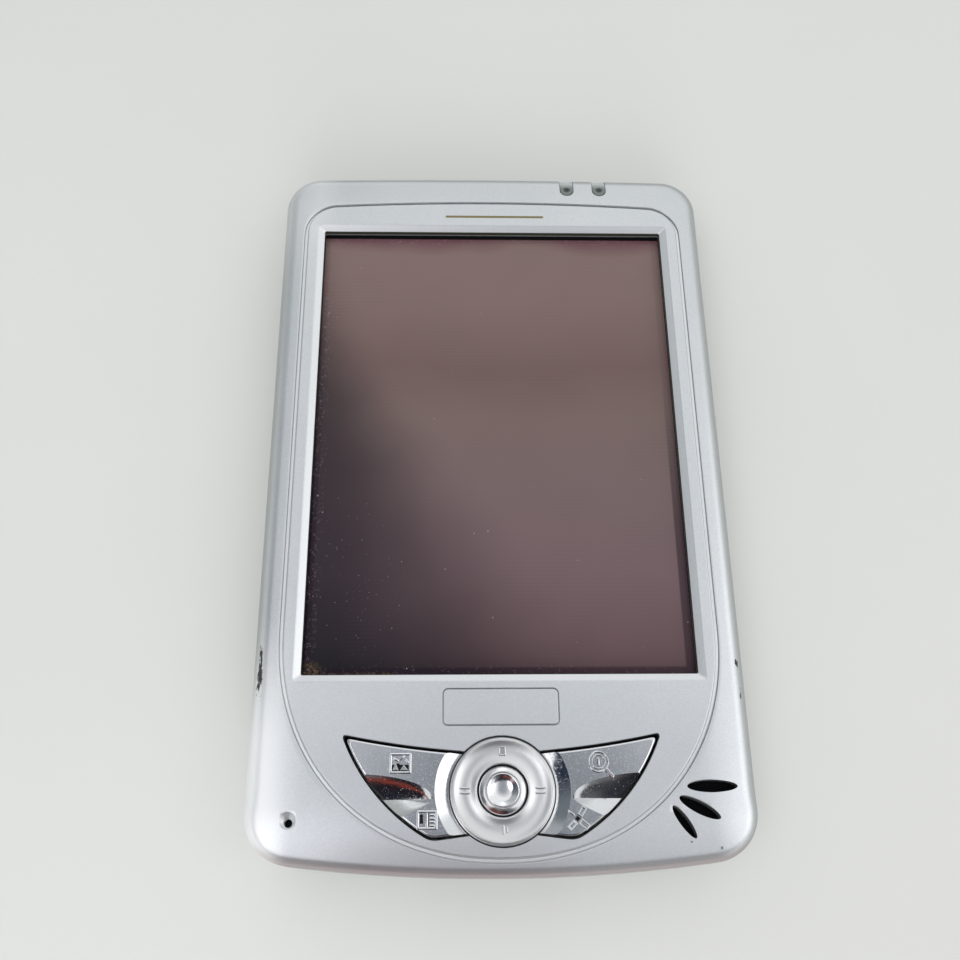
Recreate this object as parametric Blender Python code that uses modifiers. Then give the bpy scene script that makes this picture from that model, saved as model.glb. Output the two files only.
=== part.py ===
"""Pocket-size personal digital assistant, modelled as it comes apart on a bench.

It lies on its back: +Z points out of the screen, +Y runs to the top edge with the card slot and
the stylus, and +X runs to the stylus side. The origin is under the middle of the case, on the
surface that it lies on. Blender 4.5, metres.
"""
import math

import bmesh
import bpy
from mathutils import Matrix, Vector

MM = 0.001
GAP = 0.3 * MM
THIN_GAP = 0.15 * MM

# Case: overall size, shell split and walls
CASE_WIDTH = 69.6 * MM
CASE_LENGTH = 112.8 * MM
FACE_Z = 14.1 * MM
SPLIT_Z = 7.2 * MM
WALL = 1.6 * MM
TOP_BOW = 1300 * MM
BOTTOM_BOW = 240 * MM
TOP_CORNER = 6.0 * MM
BOTTOM_CORNER = 7.0 * MM
FRONT_EDGE_ROUND = 3.4 * MM
BACK_INSET = 0.35 * MM
BACK_EDGE_ROUND = 5.0 * MM
BACK_FLOOR = 1.4 * MM
LIP_INSET = (1.9 * MM, 2.4 * MM)
LIP_Z = (5.5 * MM, 7.75 * MM)
CEILING_Z = 12.3 * MM

# Face plate: the inner panel that carries the window and the keys
PLATE_HALF_WIDTH = 31.2 * MM
PLATE_TOP_Y = 50.2 * MM
PLATE_TOP_BOW = 400 * MM
PLATE_CORNER = 5.5 * MM
PLATE_BELLY_Y = -23.4 * MM
PLATE_BELLY_POWER = 2.16
PLATE_LEDGE = 0.55 * MM
PLATE_TOP_LEDGE = 0.3 * MM
LEDGE_Z = 13.65 * MM
PLATE_SEAM = 0.12 * MM
FLANGE_OUT = 1.2 * MM
FLANGE_TOP_OUT = 0.5 * MM
FLANGE_BOTTOM_IN = 0.25 * MM
FLANGE_Z = (11.2 * MM, 11.8 * MM)

# Display stack
WINDOW_CENTRE_Y = 7.35 * MM
WINDOW_SIZE = (55.8 * MM, 74.1 * MM)
GASKET_HOLE_LOW = (-27.85 * MM, -29.65 * MM)
GASKET_HOLE_HIGH = (27.85 * MM, 43.95 * MM)
WINDOW_CHAMFER = 1.1 * MM
WINDOW_CHAMFER_DROP = 0.5 * MM
DISPLAY_CENTRE_Y = 7.1 * MM
DISPLAY_HALF = (29.4 * MM, 41.5 * MM)
POCKET_CEILING_Z = 12.8 * MM
GASKET_Z = (12.2 * MM, 12.6 * MM)
GLASS_Z = (10.95 * MM, 12.05 * MM)
LCD_Z = (9.35 * MM, 10.75 * MM)
GUIDE_Z = (8.15 * MM, 9.15 * MM)
TRAY_Z = (7.5 * MM, 10.6 * MM)
TRAY_SHEET = 0.45 * MM

# Main board and what it carries
BOARD_Z = (5.6 * MM, 6.5 * MM)
UNDER_BOARD_Z = 5.3 * MM
BATTERY_X = (-25 * MM, 21 * MM)
BATTERY_Y = (-32 * MM, 16 * MM)
CARD_CENTRE_X = -10.4 * MM
CARD_SIZE = (24.0 * MM, 32.0 * MM, 2.1 * MM)
CARD_TOP_Y = 55.0 * MM
CARD_Z = 2.7 * MM
JACK_X = 11.8 * MM
JACK_Z = 4.6 * MM

# Keys and navigation ring
NAV_Y = -45.45 * MM
NAV_RING_RADIUS = 6.95 * MM
NAV_HOLE_RADIUS = 3.45 * MM
NAV_WELL_RADIUS = 7.3 * MM
SELECT_RADIUS = 3.15 * MM
KEY_TOP_Z = 14.25 * MM
KEY_CLEARANCE = 0.35 * MM
KEY_PIVOT = (13.0 * MM, -46.0 * MM, 11.6 * MM)
KEY_LIP_Z = (11.1 * MM, 11.5 * MM)
KEY_LIP_OUT = 0.5 * MM
NAV_BASE_Z = (10.9 * MM, 11.7 * MM)
KEY_BOARD_Z = (8.9 * MM, 9.6 * MM)
KEY_MAT_Z = (9.8 * MM, 10.1 * MM)
KEY_DOME_Z = 10.35 * MM

# The four circles that bound the right-hand key: centre x, centre y, radius
KEY_OUTER = (-2.88 * MM, -28.47 * MM, 26.49 * MM)
KEY_UPPER = (-4.62 * MM, 89.05 * MM, 129.69 * MM)
KEY_LOWER = (44.1 * MM, 246.2 * MM, 300 * MM)
KEY_INNER = (0.0, NAV_Y, 7.15 * MM)

# Small openings in the face
PETALS = (
    (28.39 * MM, -45.05 * MM, 6.9 * MM, 1.6 * MM, 0),
    (26.44 * MM, -47.83 * MM, 6.0 * MM, 1.6 * MM, -27),
    (24.24 * MM, -49.66 * MM, 5.0 * MM, 1.3 * MM, -55),
)
MICROPHONE = (-28.45 * MM, -49.4 * MM)
SPEAKER = (26.3 * MM, -47.1 * MM)
LENS_X = {"led_lens_left": 12.7 * MM, "led_lens_right": 18.2 * MM}
LENS_Y = 53.2 * MM
LENS_SLOT = (2.5 * MM, 5.9 * MM)
LENS_SEAT_Z = 12.4 * MM
LENS_STEM_RADIUS = 0.8 * MM
NAME_PLATE = (-0.05 * MM, -34.3 * MM, 15.85 * MM, 4.85 * MM)
NAME_PLATE_RECESS = 0.6 * MM

# Stylus, on the right-hand side of the back cover
STYLUS_X = 29.8 * MM
STYLUS_Z = 4.55 * MM
STYLUS_RADIUS = 1.9 * MM
STYLUS_END_Y = 55.6 * MM
STYLUS_TIP_Y = -44.0 * MM
TUBE_RADII = (2.15 * MM, 2.5 * MM)

# Case screws: x and y of each
SCREWS = (
    (-29.3 * MM, 52.2 * MM),
    (22.5 * MM, 52.9 * MM),
    (-19.8 * MM, -52.3 * MM),
    (19.8 * MM, -52.3 * MM),
)
SCREW_HEAD_RADIUS = 1.5 * MM
SCREW_SHAFT_RADIUS = 0.8 * MM
FRONT_BOSS_RADIUS = 1.9 * MM
BACK_POST_RADIUS = 2.35 * MM

# colour, roughness, metallic
FINISHES = {
    "silver_paint": ((0.62, 0.64, 0.66), 0.38, 0.6),
    "back_paint": ((0.5, 0.52, 0.54), 0.45, 0.5),
    "chrome": ((0.75, 0.75, 0.77), 0.12, 1.0),
    "black_foam": ((0.02, 0.02, 0.02), 0.9, 0.0),
    "dark_glass": ((0.09, 0.06, 0.07), 0.08, 0.0),
    "lcd": ((0.12, 0.08, 0.09), 0.3, 0.0),
    "white_plastic": ((0.85, 0.85, 0.82), 0.4, 0.0),
    "steel": ((0.55, 0.55, 0.56), 0.35, 1.0),
    "board": ((0.03, 0.16, 0.07), 0.5, 0.0),
    "chip": ((0.03, 0.03, 0.035), 0.55, 0.0),
    "battery_wrap": ((0.08, 0.12, 0.2), 0.5, 0.0),
    "black_plastic": ((0.03, 0.03, 0.03), 0.45, 0.0),
    "grey_plastic": ((0.3, 0.31, 0.33), 0.5, 0.0),
    "amber_film": ((0.45, 0.22, 0.05), 0.4, 0.0),
    "silicone": ((0.6, 0.62, 0.6), 0.7, 0.0),
    "smoke_lens": ((0.3, 0.31, 0.32), 0.1, 0.3),
    "infrared_lens": ((0.08, 0.01, 0.02), 0.15, 0.0),
    "label": ((0.75, 0.76, 0.76), 0.6, 0.0),
}


def clear_scene():
    for obj in list(bpy.data.objects):
        bpy.data.objects.remove(obj, do_unlink=True)


def make_collection(name):
    collection = bpy.data.collections.new(name)
    bpy.context.scene.collection.children.link(collection)
    return collection


clear_scene()
PARTS = make_collection("personal_digital_assistant")
CUTTERS = make_collection("cutters")


# ---------------------------------------------------------------- points and outlines

def arc(centre, radius, start, end, count):
    """Points on a circle from one angle to the other, in degrees."""
    points = []
    for step in range(count + 1):
        angle = math.radians(start + (end - start) * step / count)
        points.append((centre[0] + radius * math.cos(angle), centre[1] + radius * math.sin(angle)))
    return points


def mirrored(points):
    return [(-x, y) for x, y in reversed(points)]


def bowed_corner(half_width, end_y, bow, corner):
    """Centre and end angle of a corner round between a straight side and a bowed end."""
    reach = half_width - corner
    drop = bow - math.sqrt((bow - corner) ** 2 - reach ** 2)
    return (reach, end_y - drop), math.degrees(math.acos(reach / (bow - corner)))


def case_outline(inset):
    """Case seen from the front: straight sides, slightly bowed ends, round corners."""
    half_width = CASE_WIDTH / 2 - inset
    half_length = CASE_LENGTH / 2 - inset
    top, top_angle = bowed_corner(half_width, half_length, TOP_BOW, TOP_CORNER - inset)
    low, low_angle = bowed_corner(half_width, half_length, BOTTOM_BOW, BOTTOM_CORNER - inset)
    right = [(0.0, -half_length)]
    right += [(x, -half_length + x * x / (2 * BOTTOM_BOW)) for x in (8 * MM, 16 * MM)]
    right += arc((low[0], -low[1]), BOTTOM_CORNER - inset, -low_angle, 0, 7)
    right += arc(top, TOP_CORNER - inset, 0, top_angle, 7)
    right += [(14 * MM, half_length - (14 * MM) ** 2 / (2 * TOP_BOW)), (0.0, half_length)]
    return right + mirrored(right[1:-1])


def plate_outline(side, top, bottom):
    """Face plate: round top corners and a belly that follows a superellipse.

    side, top and bottom say how far each edge moves out from the seam in the case.
    """
    half_width = PLATE_HALF_WIDTH + side
    top_y = PLATE_TOP_Y + top
    depth = PLATE_HALF_WIDTH + bottom
    corner, angle = bowed_corner(half_width, top_y, PLATE_TOP_BOW, PLATE_CORNER + side)
    right = []
    count = 16
    for step in range(count):
        turn = math.radians(90 * step / count)
        x = half_width * math.sin(turn) ** (2 / PLATE_BELLY_POWER)
        y = PLATE_BELLY_Y - depth * math.cos(turn) ** (2 / PLATE_BELLY_POWER)
        right.append((x, y))
    right.append((half_width, PLATE_BELLY_Y))
    right += arc(corner, PLATE_CORNER + side, 0, angle, 6)
    right += [(13 * MM, top_y - (13 * MM) ** 2 / (2 * PLATE_TOP_BOW)), (0.0, top_y)]
    return right + mirrored(right[1:-1])


def rounded_rectangle(centre, size, radius):
    """Four straight sides joined by quarter circles."""
    reach_x = size[0] / 2 - radius
    reach_y = size[1] / 2 - radius
    points = []
    for turn, (sign_x, sign_y) in enumerate(((1, 1), (-1, 1), (-1, -1), (1, -1))):
        middle = (centre[0] + sign_x * reach_x, centre[1] + sign_y * reach_y)
        points += arc(middle, radius, 90 * turn, 90 * turn + 90, 4)
    return points


def petal_outline(centre_x, centre_y, length, width, angle):
    """A slot with pointed ends, made of two shallow arcs."""
    half_length = length / 2
    half_width = width / 2
    radius = (half_length ** 2 + half_width ** 2) / (2 * half_width)
    spread = math.degrees(math.asin(half_length / radius))
    upper = arc((0, half_width - radius), radius, 90 - spread, 90 + spread, 8)
    lower = arc((0, radius - half_width), radius, 270 - spread, 270 + spread, 8)
    turn = math.radians(angle)
    points = []
    for x, y in upper[:-1] + lower[:-1]:
        points.append((centre_x + x * math.cos(turn) - y * math.sin(turn),
                       centre_y + x * math.sin(turn) + y * math.cos(turn)))
    return points


def circles_meet(first, second, prefer):
    """The crossing of two circles that lies nearest to a given point."""
    apart = Vector((second[0] - first[0], second[1] - first[1]))
    distance = apart.length
    along = (first[2] ** 2 - second[2] ** 2 + distance ** 2) / (2 * distance)
    across = math.sqrt(first[2] ** 2 - along ** 2)
    unit = apart / distance
    middle = Vector(first[:2]) + unit * along
    side = Vector((-unit.y, unit.x)) * across
    choices = (middle + side, middle - side)
    return min(choices, key=lambda point: (point - Vector(prefer)).length)


def arc_between(circle, start, end, count):
    """Points along a circle from one point on it to another, the short way round."""
    begin = math.atan2(start[1] - circle[1], start[0] - circle[0])
    finish = math.atan2(end[1] - circle[1], end[0] - circle[0])
    turn = (finish - begin + math.pi) % (2 * math.pi) - math.pi
    return arc(circle[:2], circle[2], math.degrees(begin), math.degrees(begin + turn), count)


def soft_corner(before, corner, after, reach):
    """Three points that round off a corner."""
    corner = Vector(corner)
    start = corner + (Vector(before) - corner).normalized() * reach
    end = corner + (Vector(after) - corner).normalized() * reach
    middle = (start + end) / 4 + corner / 2
    return [tuple(start), tuple(middle), tuple(end)]


def key_outline(inset, inner_inset):
    """Right-hand key, drawn inside its pocket by inset and off the ring by inner_inset."""
    outer = (KEY_OUTER[0], KEY_OUTER[1], KEY_OUTER[2] - inset)
    upper = (KEY_UPPER[0], KEY_UPPER[1], KEY_UPPER[2] + inset)
    lower = (KEY_LOWER[0], KEY_LOWER[1], KEY_LOWER[2] - inset)
    inner = (KEY_INNER[0], KEY_INNER[1], KEY_INNER[2] + inner_inset)
    tip = circles_meet(outer, upper, (21.8 * MM, -38.3 * MM))
    foot = circles_meet(outer, lower, (10.7 * MM, -51.8 * MM))
    low_inner = circles_meet(inner, lower, (4.4 * MM, -51.2 * MM))
    high_inner = circles_meet(inner, upper, (5.0 * MM, -40.5 * MM))
    outside = arc_between(outer, tip, foot, 12)
    below = arc_between(lower, foot, low_inner, 3)
    inside = arc_between(inner, low_inner, high_inner, 10)
    above = arc_between(upper, high_inner, tip, 5)
    points = soft_corner(above[-2], tip, outside[1], 0.5 * MM)
    points += outside[1:-1] + soft_corner(outside[-2], foot, below[1], 0.9 * MM)
    points += below[1:-1] + inside + above[1:-1]
    return points[::-1]


# ---------------------------------------------------------------- solids

def place(obj, collection):
    collection.objects.link(obj)
    if collection is CUTTERS:
        obj.hide_render = True
        obj.display_type = "WIRE"
    return obj


def mesh_object(name, mesh, collection=PARTS):
    return place(bpy.data.objects.new(name, mesh), collection)


def outline_solid(name, points, low, high, collection=PARTS):
    """A flat outline as a filled 2D curve with thickness, made a mesh with its caps welded."""
    curve = bpy.data.curves.new(name, "CURVE")
    curve.dimensions = "2D"
    curve.fill_mode = "BOTH"
    curve.extrude = (high - low) / 2
    spline = curve.splines.new("POLY")
    spline.points.add(len(points) - 1)
    for spot, (x, y) in zip(spline.points, points):
        spot.co = (x, y, 0.0, 1.0)
    spline.use_cyclic_u = True
    holder = bpy.data.objects.new(name + "_curve", curve)
    holder.location = (0.0, 0.0, (low + high) / 2)
    bpy.context.scene.collection.objects.link(holder)
    bpy.context.view_layer.update()
    evaluated = holder.evaluated_get(bpy.context.evaluated_depsgraph_get())
    mesh = bpy.data.meshes.new_from_object(evaluated)
    mesh.transform(holder.matrix_world)
    bpy.data.objects.remove(holder)
    bm = bmesh.new()
    bm.from_mesh(mesh)
    bmesh.ops.remove_doubles(bm, verts=bm.verts, dist=0.001 * MM)
    bmesh.ops.recalc_face_normals(bm, faces=bm.faces)
    inner = [edge for edge in bm.edges if all(abs(face.normal.z) > 0.99 for face in edge.link_faces)]
    bmesh.ops.dissolve_edges(bm, edges=inner, use_verts=False)
    bm.to_mesh(mesh)
    bm.free()
    mesh.name = name
    return mesh_object(name, mesh, collection)


def round_rim(obj, height, width, segments):
    """Round the rim that lies at one height."""
    bm = bmesh.new()
    bm.from_mesh(obj.data)
    rim = []
    for edge in bm.edges:
        if all(abs(vert.co.z - height) < 0.01 * MM for vert in edge.verts):
            rim.append(edge)
    bmesh.ops.bevel(bm, geom=rim, offset=width, segments=segments, profile=0.5, affect="EDGES")
    bm.to_mesh(obj.data)
    bm.free()


def box(name, low, high, collection=PARTS, round_edges=0.0, segments=2):
    """A block between two corners, with its edges rounded if asked."""
    bm = bmesh.new()
    bmesh.ops.create_cube(bm, size=1.0)
    size = [b - a for a, b in zip(low, high)]
    middle = [(a + b) / 2 for a, b in zip(low, high)]
    bmesh.ops.scale(bm, vec=size, verts=bm.verts)
    bmesh.ops.translate(bm, vec=middle, verts=bm.verts)
    if round_edges:
        bmesh.ops.bevel(bm, geom=list(bm.edges), offset=round_edges, segments=segments,
                        profile=0.5, affect="EDGES")
    mesh = bpy.data.meshes.new(name)
    bm.to_mesh(mesh)
    bm.free()
    return mesh_object(name, mesh, collection)


def cylinder(name, x, y, low, high, radius, segments=20, collection=PARTS):
    """An upright cylinder between two heights."""
    bm = bmesh.new()
    shift = Matrix.Translation((x, y, (low + high) / 2))
    bmesh.ops.create_cone(bm, cap_ends=True, segments=segments, radius1=radius, radius2=radius,
                          depth=high - low, matrix=shift)
    mesh = bpy.data.meshes.new(name)
    bm.to_mesh(mesh)
    bm.free()
    return mesh_object(name, mesh, collection)


def cone(name, x, y, low, high, low_radius, high_radius, segments=24, collection=CUTTERS):
    bm = bmesh.new()
    shift = Matrix.Translation((x, y, (low + high) / 2))
    bmesh.ops.create_cone(bm, cap_ends=True, segments=segments, radius1=low_radius,
                          radius2=high_radius, depth=high - low, matrix=shift)
    mesh = bpy.data.meshes.new(name)
    bm.to_mesh(mesh)
    bm.free()
    return mesh_object(name, mesh, collection)


def ball(name, centre, radii, collection=PARTS, columns=16, rows=10):
    """A stretched ball."""
    bm = bmesh.new()
    bmesh.ops.create_uvsphere(bm, u_segments=columns, v_segments=rows, radius=1.0)
    bmesh.ops.scale(bm, vec=radii, verts=bm.verts)
    bmesh.ops.translate(bm, vec=centre, verts=bm.verts)
    mesh = bpy.data.meshes.new(name)
    bm.to_mesh(mesh)
    bm.free()
    return mesh_object(name, mesh, collection)


def turned(name, profile, centre, steps=32, closed=False, along_y=False):
    """A profile of (radius, height) pairs, listed down its outer side, spun by a Screw."""
    mesh = bpy.data.meshes.new(name)
    verts = [(radius, 0.0, height) for radius, height in profile]
    edges = [(i, i + 1) for i in range(len(verts) - 1)]
    if closed:
        edges.append((len(verts) - 1, 0))
    mesh.from_pydata(verts, edges, [])
    obj = mesh_object(name, mesh)
    obj.location = centre
    if along_y:
        obj.rotation_euler = (-math.pi / 2, 0.0, 0.0)
    screw = obj.modifiers.new("turn", "SCREW")
    screw.axis = "Z"
    screw.steps = steps
    screw.render_steps = steps
    screw.use_merge_vertices = True
    screw.merge_threshold = 0.001 * MM
    return obj


def combine(target, other, operation="DIFFERENCE"):
    """Cut or join a solid with a cutter by a Boolean."""
    modifier = target.modifiers.new(operation.lower() + "_" + other.name, "BOOLEAN")
    modifier.operation = operation
    modifier.solver = "EXACT"
    modifier.object = other
    return target


def set_origin(obj, point):
    """Move a piece's origin to its joint's axis, leaving the shape where it is."""
    shift = Vector(point) - obj.location
    obj.data.transform(Matrix.Translation(-shift))
    obj.location = point


def drill(target, name, x, y, low, high, radius, segments=16):
    combine(target, cylinder("cut_" + name, x, y, low, high, radius, segments, CUTTERS))


def cut_box(target, name, low, high):
    combine(target, box("cut_" + name, low, high, CUTTERS))


# ---------------------------------------------------------------- case

def make_front_shell():
    low = SPLIT_Z + GAP / 2
    shell = outline_solid("front_shell", case_outline(0), low, FACE_Z)
    round_rim(shell, FACE_Z, FRONT_EDGE_ROUND, 5)
    cavity = outline_solid("front_cavity", case_outline(WALL), low - 1 * MM, CEILING_Z, CUTTERS)
    for number, (x, y) in enumerate(SCREWS, 1):
        combine(cavity, cylinder(f"front_boss_{number}", x, y, low - 2 * MM, FACE_Z,
                                 FRONT_BOSS_RADIUS, 16, CUTTERS))
    combine(shell, cavity)
    opening = outline_solid("plate_opening", plate_outline(0, 0, 0), FLANGE_Z[0] - 1 * MM,
                            FACE_Z + 1 * MM, CUTTERS)
    combine(shell, opening)
    for number, (x, y) in enumerate(SCREWS, 1):
        drill(shell, f"front_boss_bore_{number}", x, y, low - 1 * MM, 11.4 * MM, 0.95 * MM, 12)
    for number, petal in enumerate(PETALS, 1):
        combine(shell, outline_solid(f"cut_petal_{number}", petal_outline(*petal), 11.5 * MM,
                                     15 * MM, CUTTERS))
    combine(shell, cone("cut_microphone_dimple", *MICROPHONE, 13.6 * MM, 14.4 * MM,
                        0.5 * MM, 1.5 * MM))
    drill(shell, "microphone_hole", *MICROPHONE, 11.5 * MM, 15 * MM, 0.55 * MM)
    for name, x in LENS_X.items():
        combine(shell, outline_solid(f"cut_{name}", lens_slot(x, 0), LENS_SEAT_Z, 15 * MM, CUTTERS))
        drill(shell, name + "_hole", x, LENS_Y, 11 * MM, 13 * MM, LENS_STEM_RADIUS + THIN_GAP)
    cut_box(shell, "infrared_window", (-27 * MM, 53 * MM, 8.4 * MM), (-18 * MM, 58 * MM, 11.6 * MM))
    cut_box(shell, "power_button", (-3.3 * MM, 53 * MM, 8.5 * MM), (3.3 * MM, 58 * MM, 11.3 * MM))
    cut_box(shell, "record_button", (-36 * MM, 20.2 * MM, 8.4 * MM),
            (-32 * MM, 28.8 * MM, 11.2 * MM))


def lens_slot(x, inset):
    """Round-ended notch that runs over the top edge."""
    size = (LENS_SLOT[0] - 2 * inset, LENS_SLOT[1] - 2 * inset)
    return rounded_rectangle((x, LENS_Y + 1.5 * MM), size, LENS_SLOT[0] / 2 - 0.05 * MM - inset)


def make_face_plate():
    plate = outline_solid("face_plate",
                          plate_outline(-PLATE_LEDGE, -PLATE_TOP_LEDGE, -PLATE_LEDGE),
                          FLANGE_Z[1] - 0.1 * MM, FACE_Z)
    ledge = outline_solid("plate_ledge", plate_outline(-PLATE_SEAM, -PLATE_SEAM, -PLATE_SEAM),
                          FLANGE_Z[1] - 0.2 * MM, LEDGE_Z, CUTTERS)
    combine(plate, ledge, "UNION")
    flange = outline_solid("plate_flange",
                           plate_outline(FLANGE_OUT, FLANGE_TOP_OUT, -FLANGE_BOTTOM_IN),
                           FLANGE_Z[0], FLANGE_Z[1], CUTTERS)
    combine(plate, flange, "UNION")
    half_x = WINDOW_SIZE[0] / 2
    half_y = WINDOW_SIZE[1] / 2
    cut_box(plate, "window", (-half_x, WINDOW_CENTRE_Y - half_y, 10 * MM),
            (half_x, WINDOW_CENTRE_Y + half_y, 15 * MM))
    combine(plate, window_chamfer())
    cut_box(plate, "display_pocket",
            (-DISPLAY_HALF[0] - GAP, DISPLAY_CENTRE_Y - DISPLAY_HALF[1] - GAP, 10 * MM),
            (DISPLAY_HALF[0] + GAP, DISPLAY_CENTRE_Y + DISPLAY_HALF[1] + GAP, POCKET_CEILING_Z))
    keys_room = [(-23.5 * MM, -35.2 * MM), (-23.5 * MM, -41 * MM), (-18 * MM, -48 * MM),
                 (-11 * MM, -52.9 * MM), (11 * MM, -52.9 * MM), (18 * MM, -48 * MM),
                 (23.5 * MM, -41 * MM), (23.5 * MM, -35.2 * MM)]
    combine(plate, outline_solid("cut_keys_room", keys_room, 10 * MM, FLANGE_Z[1] + 0.15 * MM,
                                 CUTTERS))
    drill(plate, "nav_well", 0.0, NAV_Y, 10 * MM, 15 * MM, NAV_WELL_RADIUS, 36)
    pocket = key_outline(0, 0)
    for side, points in (("right", pocket), ("left", mirrored(pocket))):
        combine(plate, outline_solid(f"cut_{side}_key_pocket", points, 10.5 * MM, 15 * MM,
                                     CUTTERS))
    x, y, width, height = NAME_PLATE
    recess = rounded_rectangle((x, y), (width + 2 * THIN_GAP, height + 2 * THIN_GAP), 0.75 * MM)
    combine(plate, outline_solid("cut_name_plate", recess, FACE_Z - NAME_PLATE_RECESS,
                                 FACE_Z + 1 * MM, CUTTERS))


def window_chamfer():
    """A shallow pyramid that slopes the face down to the window's edge."""
    slope = WINDOW_CHAMFER_DROP / WINDOW_CHAMFER
    over = 1.0 * MM
    low = FACE_Z - WINDOW_CHAMFER_DROP
    cutter = box("cut_window_chamfer", (-WINDOW_SIZE[0] / 2, WINDOW_CENTRE_Y - WINDOW_SIZE[1] / 2,
                                        low),
                 (WINDOW_SIZE[0] / 2, WINDOW_CENTRE_Y + WINDOW_SIZE[1] / 2, FACE_Z + over), CUTTERS)
    spread = WINDOW_CHAMFER + over / slope
    for vert in cutter.data.vertices:
        if vert.co.z > FACE_Z:
            vert.co.x += math.copysign(spread, vert.co.x)
            vert.co.y += math.copysign(spread, vert.co.y - WINDOW_CENTRE_Y)
    return cutter


def make_back_cover():
    high = SPLIT_Z - GAP / 2
    cover = outline_solid("back_cover", case_outline(BACK_INSET), 0.0, high)
    round_rim(cover, 0.0, BACK_EDGE_ROUND, 5)
    lip = outline_solid("back_lip", case_outline(LIP_INSET[0]), LIP_Z[0], LIP_Z[1], CUTTERS)
    for number, (x, y) in enumerate(SCREWS, 1):
        drill(lip, f"lip_relief_{number}", x, y, high, LIP_Z[1] + 1 * MM,
              FRONT_BOSS_RADIUS + GAP)
    combine(cover, lip, "UNION")
    cavity = outline_solid("back_cavity", case_outline(BACK_INSET + WALL - 0.1 * MM), BACK_FLOOR,
                           LIP_Z[0] + 0.2 * MM, CUTTERS)
    round_rim(cavity, BACK_FLOOR, BACK_EDGE_ROUND - BACK_FLOOR, 5)
    throat = outline_solid("back_throat", case_outline(LIP_INSET[1]), LIP_Z[0] - 0.3 * MM,
                           LIP_Z[1] + 1 * MM, CUTTERS)
    combine(cavity, throat, "UNION")
    for number, (x, y) in enumerate(SCREWS, 1):
        combine(cavity, cylinder(f"back_post_{number}", x, y, 0.2 * MM, high + 2 * MM,
                                 BACK_POST_RADIUS, 16, CUTTERS))
    combine(cover, cavity)
    for number, (x, y) in enumerate(SCREWS, 1):
        drill(cover, f"back_post_bore_{number}", x, y, -1 * MM, high + 1 * MM, 1.0 * MM, 12)
        drill(cover, f"screw_recess_{number}", x, y, -1 * MM, 2.2 * MM, 1.75 * MM, 16)
    half_card = CARD_SIZE[0] / 2 + 0.5 * MM
    cut_box(cover, "card_mouth", (CARD_CENTRE_X - half_card, 50 * MM, CARD_Z - 0.35 * MM),
            (CARD_CENTRE_X + half_card, 58 * MM, CARD_Z + CARD_SIZE[2] + 0.35 * MM))
    cut_round_y(cover, "jack_mouth", JACK_X, JACK_Z, 2.3 * MM, 52.8 * MM, 58 * MM)
    cut_round_y(cover, "stylus_mouth", STYLUS_X, STYLUS_Z, 2.55 * MM, 52.0 * MM, 58 * MM)
    cut_box(cover, "sync_mouth", (-10 * MM, -58 * MM, 2.3 * MM), (10 * MM, -52 * MM, 5.6 * MM))
    label = rounded_rectangle((0, 4 * MM), (31 * MM, 25 * MM), 1.4 * MM)
    combine(cover, outline_solid("cut_label", label, -1 * MM, 0.5 * MM, CUTTERS))
    drill(cover, "reset_hole", -24 * MM, -40 * MM, -1 * MM, 3 * MM, 0.7 * MM, 12)


def cut_round_y(target, name, x, z, radius, low_y, high_y):
    """Cut a round hole that runs along Y."""
    cutter = cylinder("cut_" + name, 0, 0, -(high_y - low_y) / 2, (high_y - low_y) / 2, radius, 24,
                      CUTTERS)
    cutter.rotation_euler = (math.pi / 2, 0.0, 0.0)
    cutter.location = (x, (low_y + high_y) / 2, z)
    combine(target, cutter)


def make_case_screws():
    profile = [(0.0, 10.9 * MM), (0.5 * MM, 10.9 * MM), (SCREW_SHAFT_RADIUS, 10.4 * MM),
               (SCREW_SHAFT_RADIUS, 1.95 * MM), (SCREW_HEAD_RADIUS, 1.95 * MM),
               (SCREW_HEAD_RADIUS, 1.25 * MM), (1.2 * MM, 1.0 * MM), (0.0, 1.0 * MM)]
    for number, (x, y) in enumerate(SCREWS, 1):
        screw = turned(f"case_screw_{number}", profile, (x, y, 0.0), steps=14)
        for turn, name in ((0, "a"), (1, "b")):
            wide, narrow = 0.9 * MM, 0.18 * MM
            half = (wide, narrow) if turn == 0 else (narrow, wide)
            lift = 0.02 * MM * turn
            cut_box(screw, f"cross_{number}{name}",
                    (x - half[0], y - half[1], 0.5 * MM), (x + half[0], y + half[1],
                                                           1.5 * MM + lift))


def make_name_plate():
    x, y, width, height = NAME_PLATE
    outline = rounded_rectangle((x, y), (width, height), 0.6 * MM)
    low = FACE_Z - NAME_PLATE_RECESS + THIN_GAP
    plate = outline_solid("name_plate", outline, low, FACE_Z + 0.05 * MM)
    round_rim(plate, FACE_Z + 0.05 * MM, 0.12 * MM, 1)


def make_rating_label():
    outline = rounded_rectangle((0, 4 * MM), (30 * MM, 24 * MM), 1.0 * MM)
    outline_solid("rating_label", outline, 0.1 * MM, 0.3 * MM)


# ---------------------------------------------------------------- display

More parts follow.
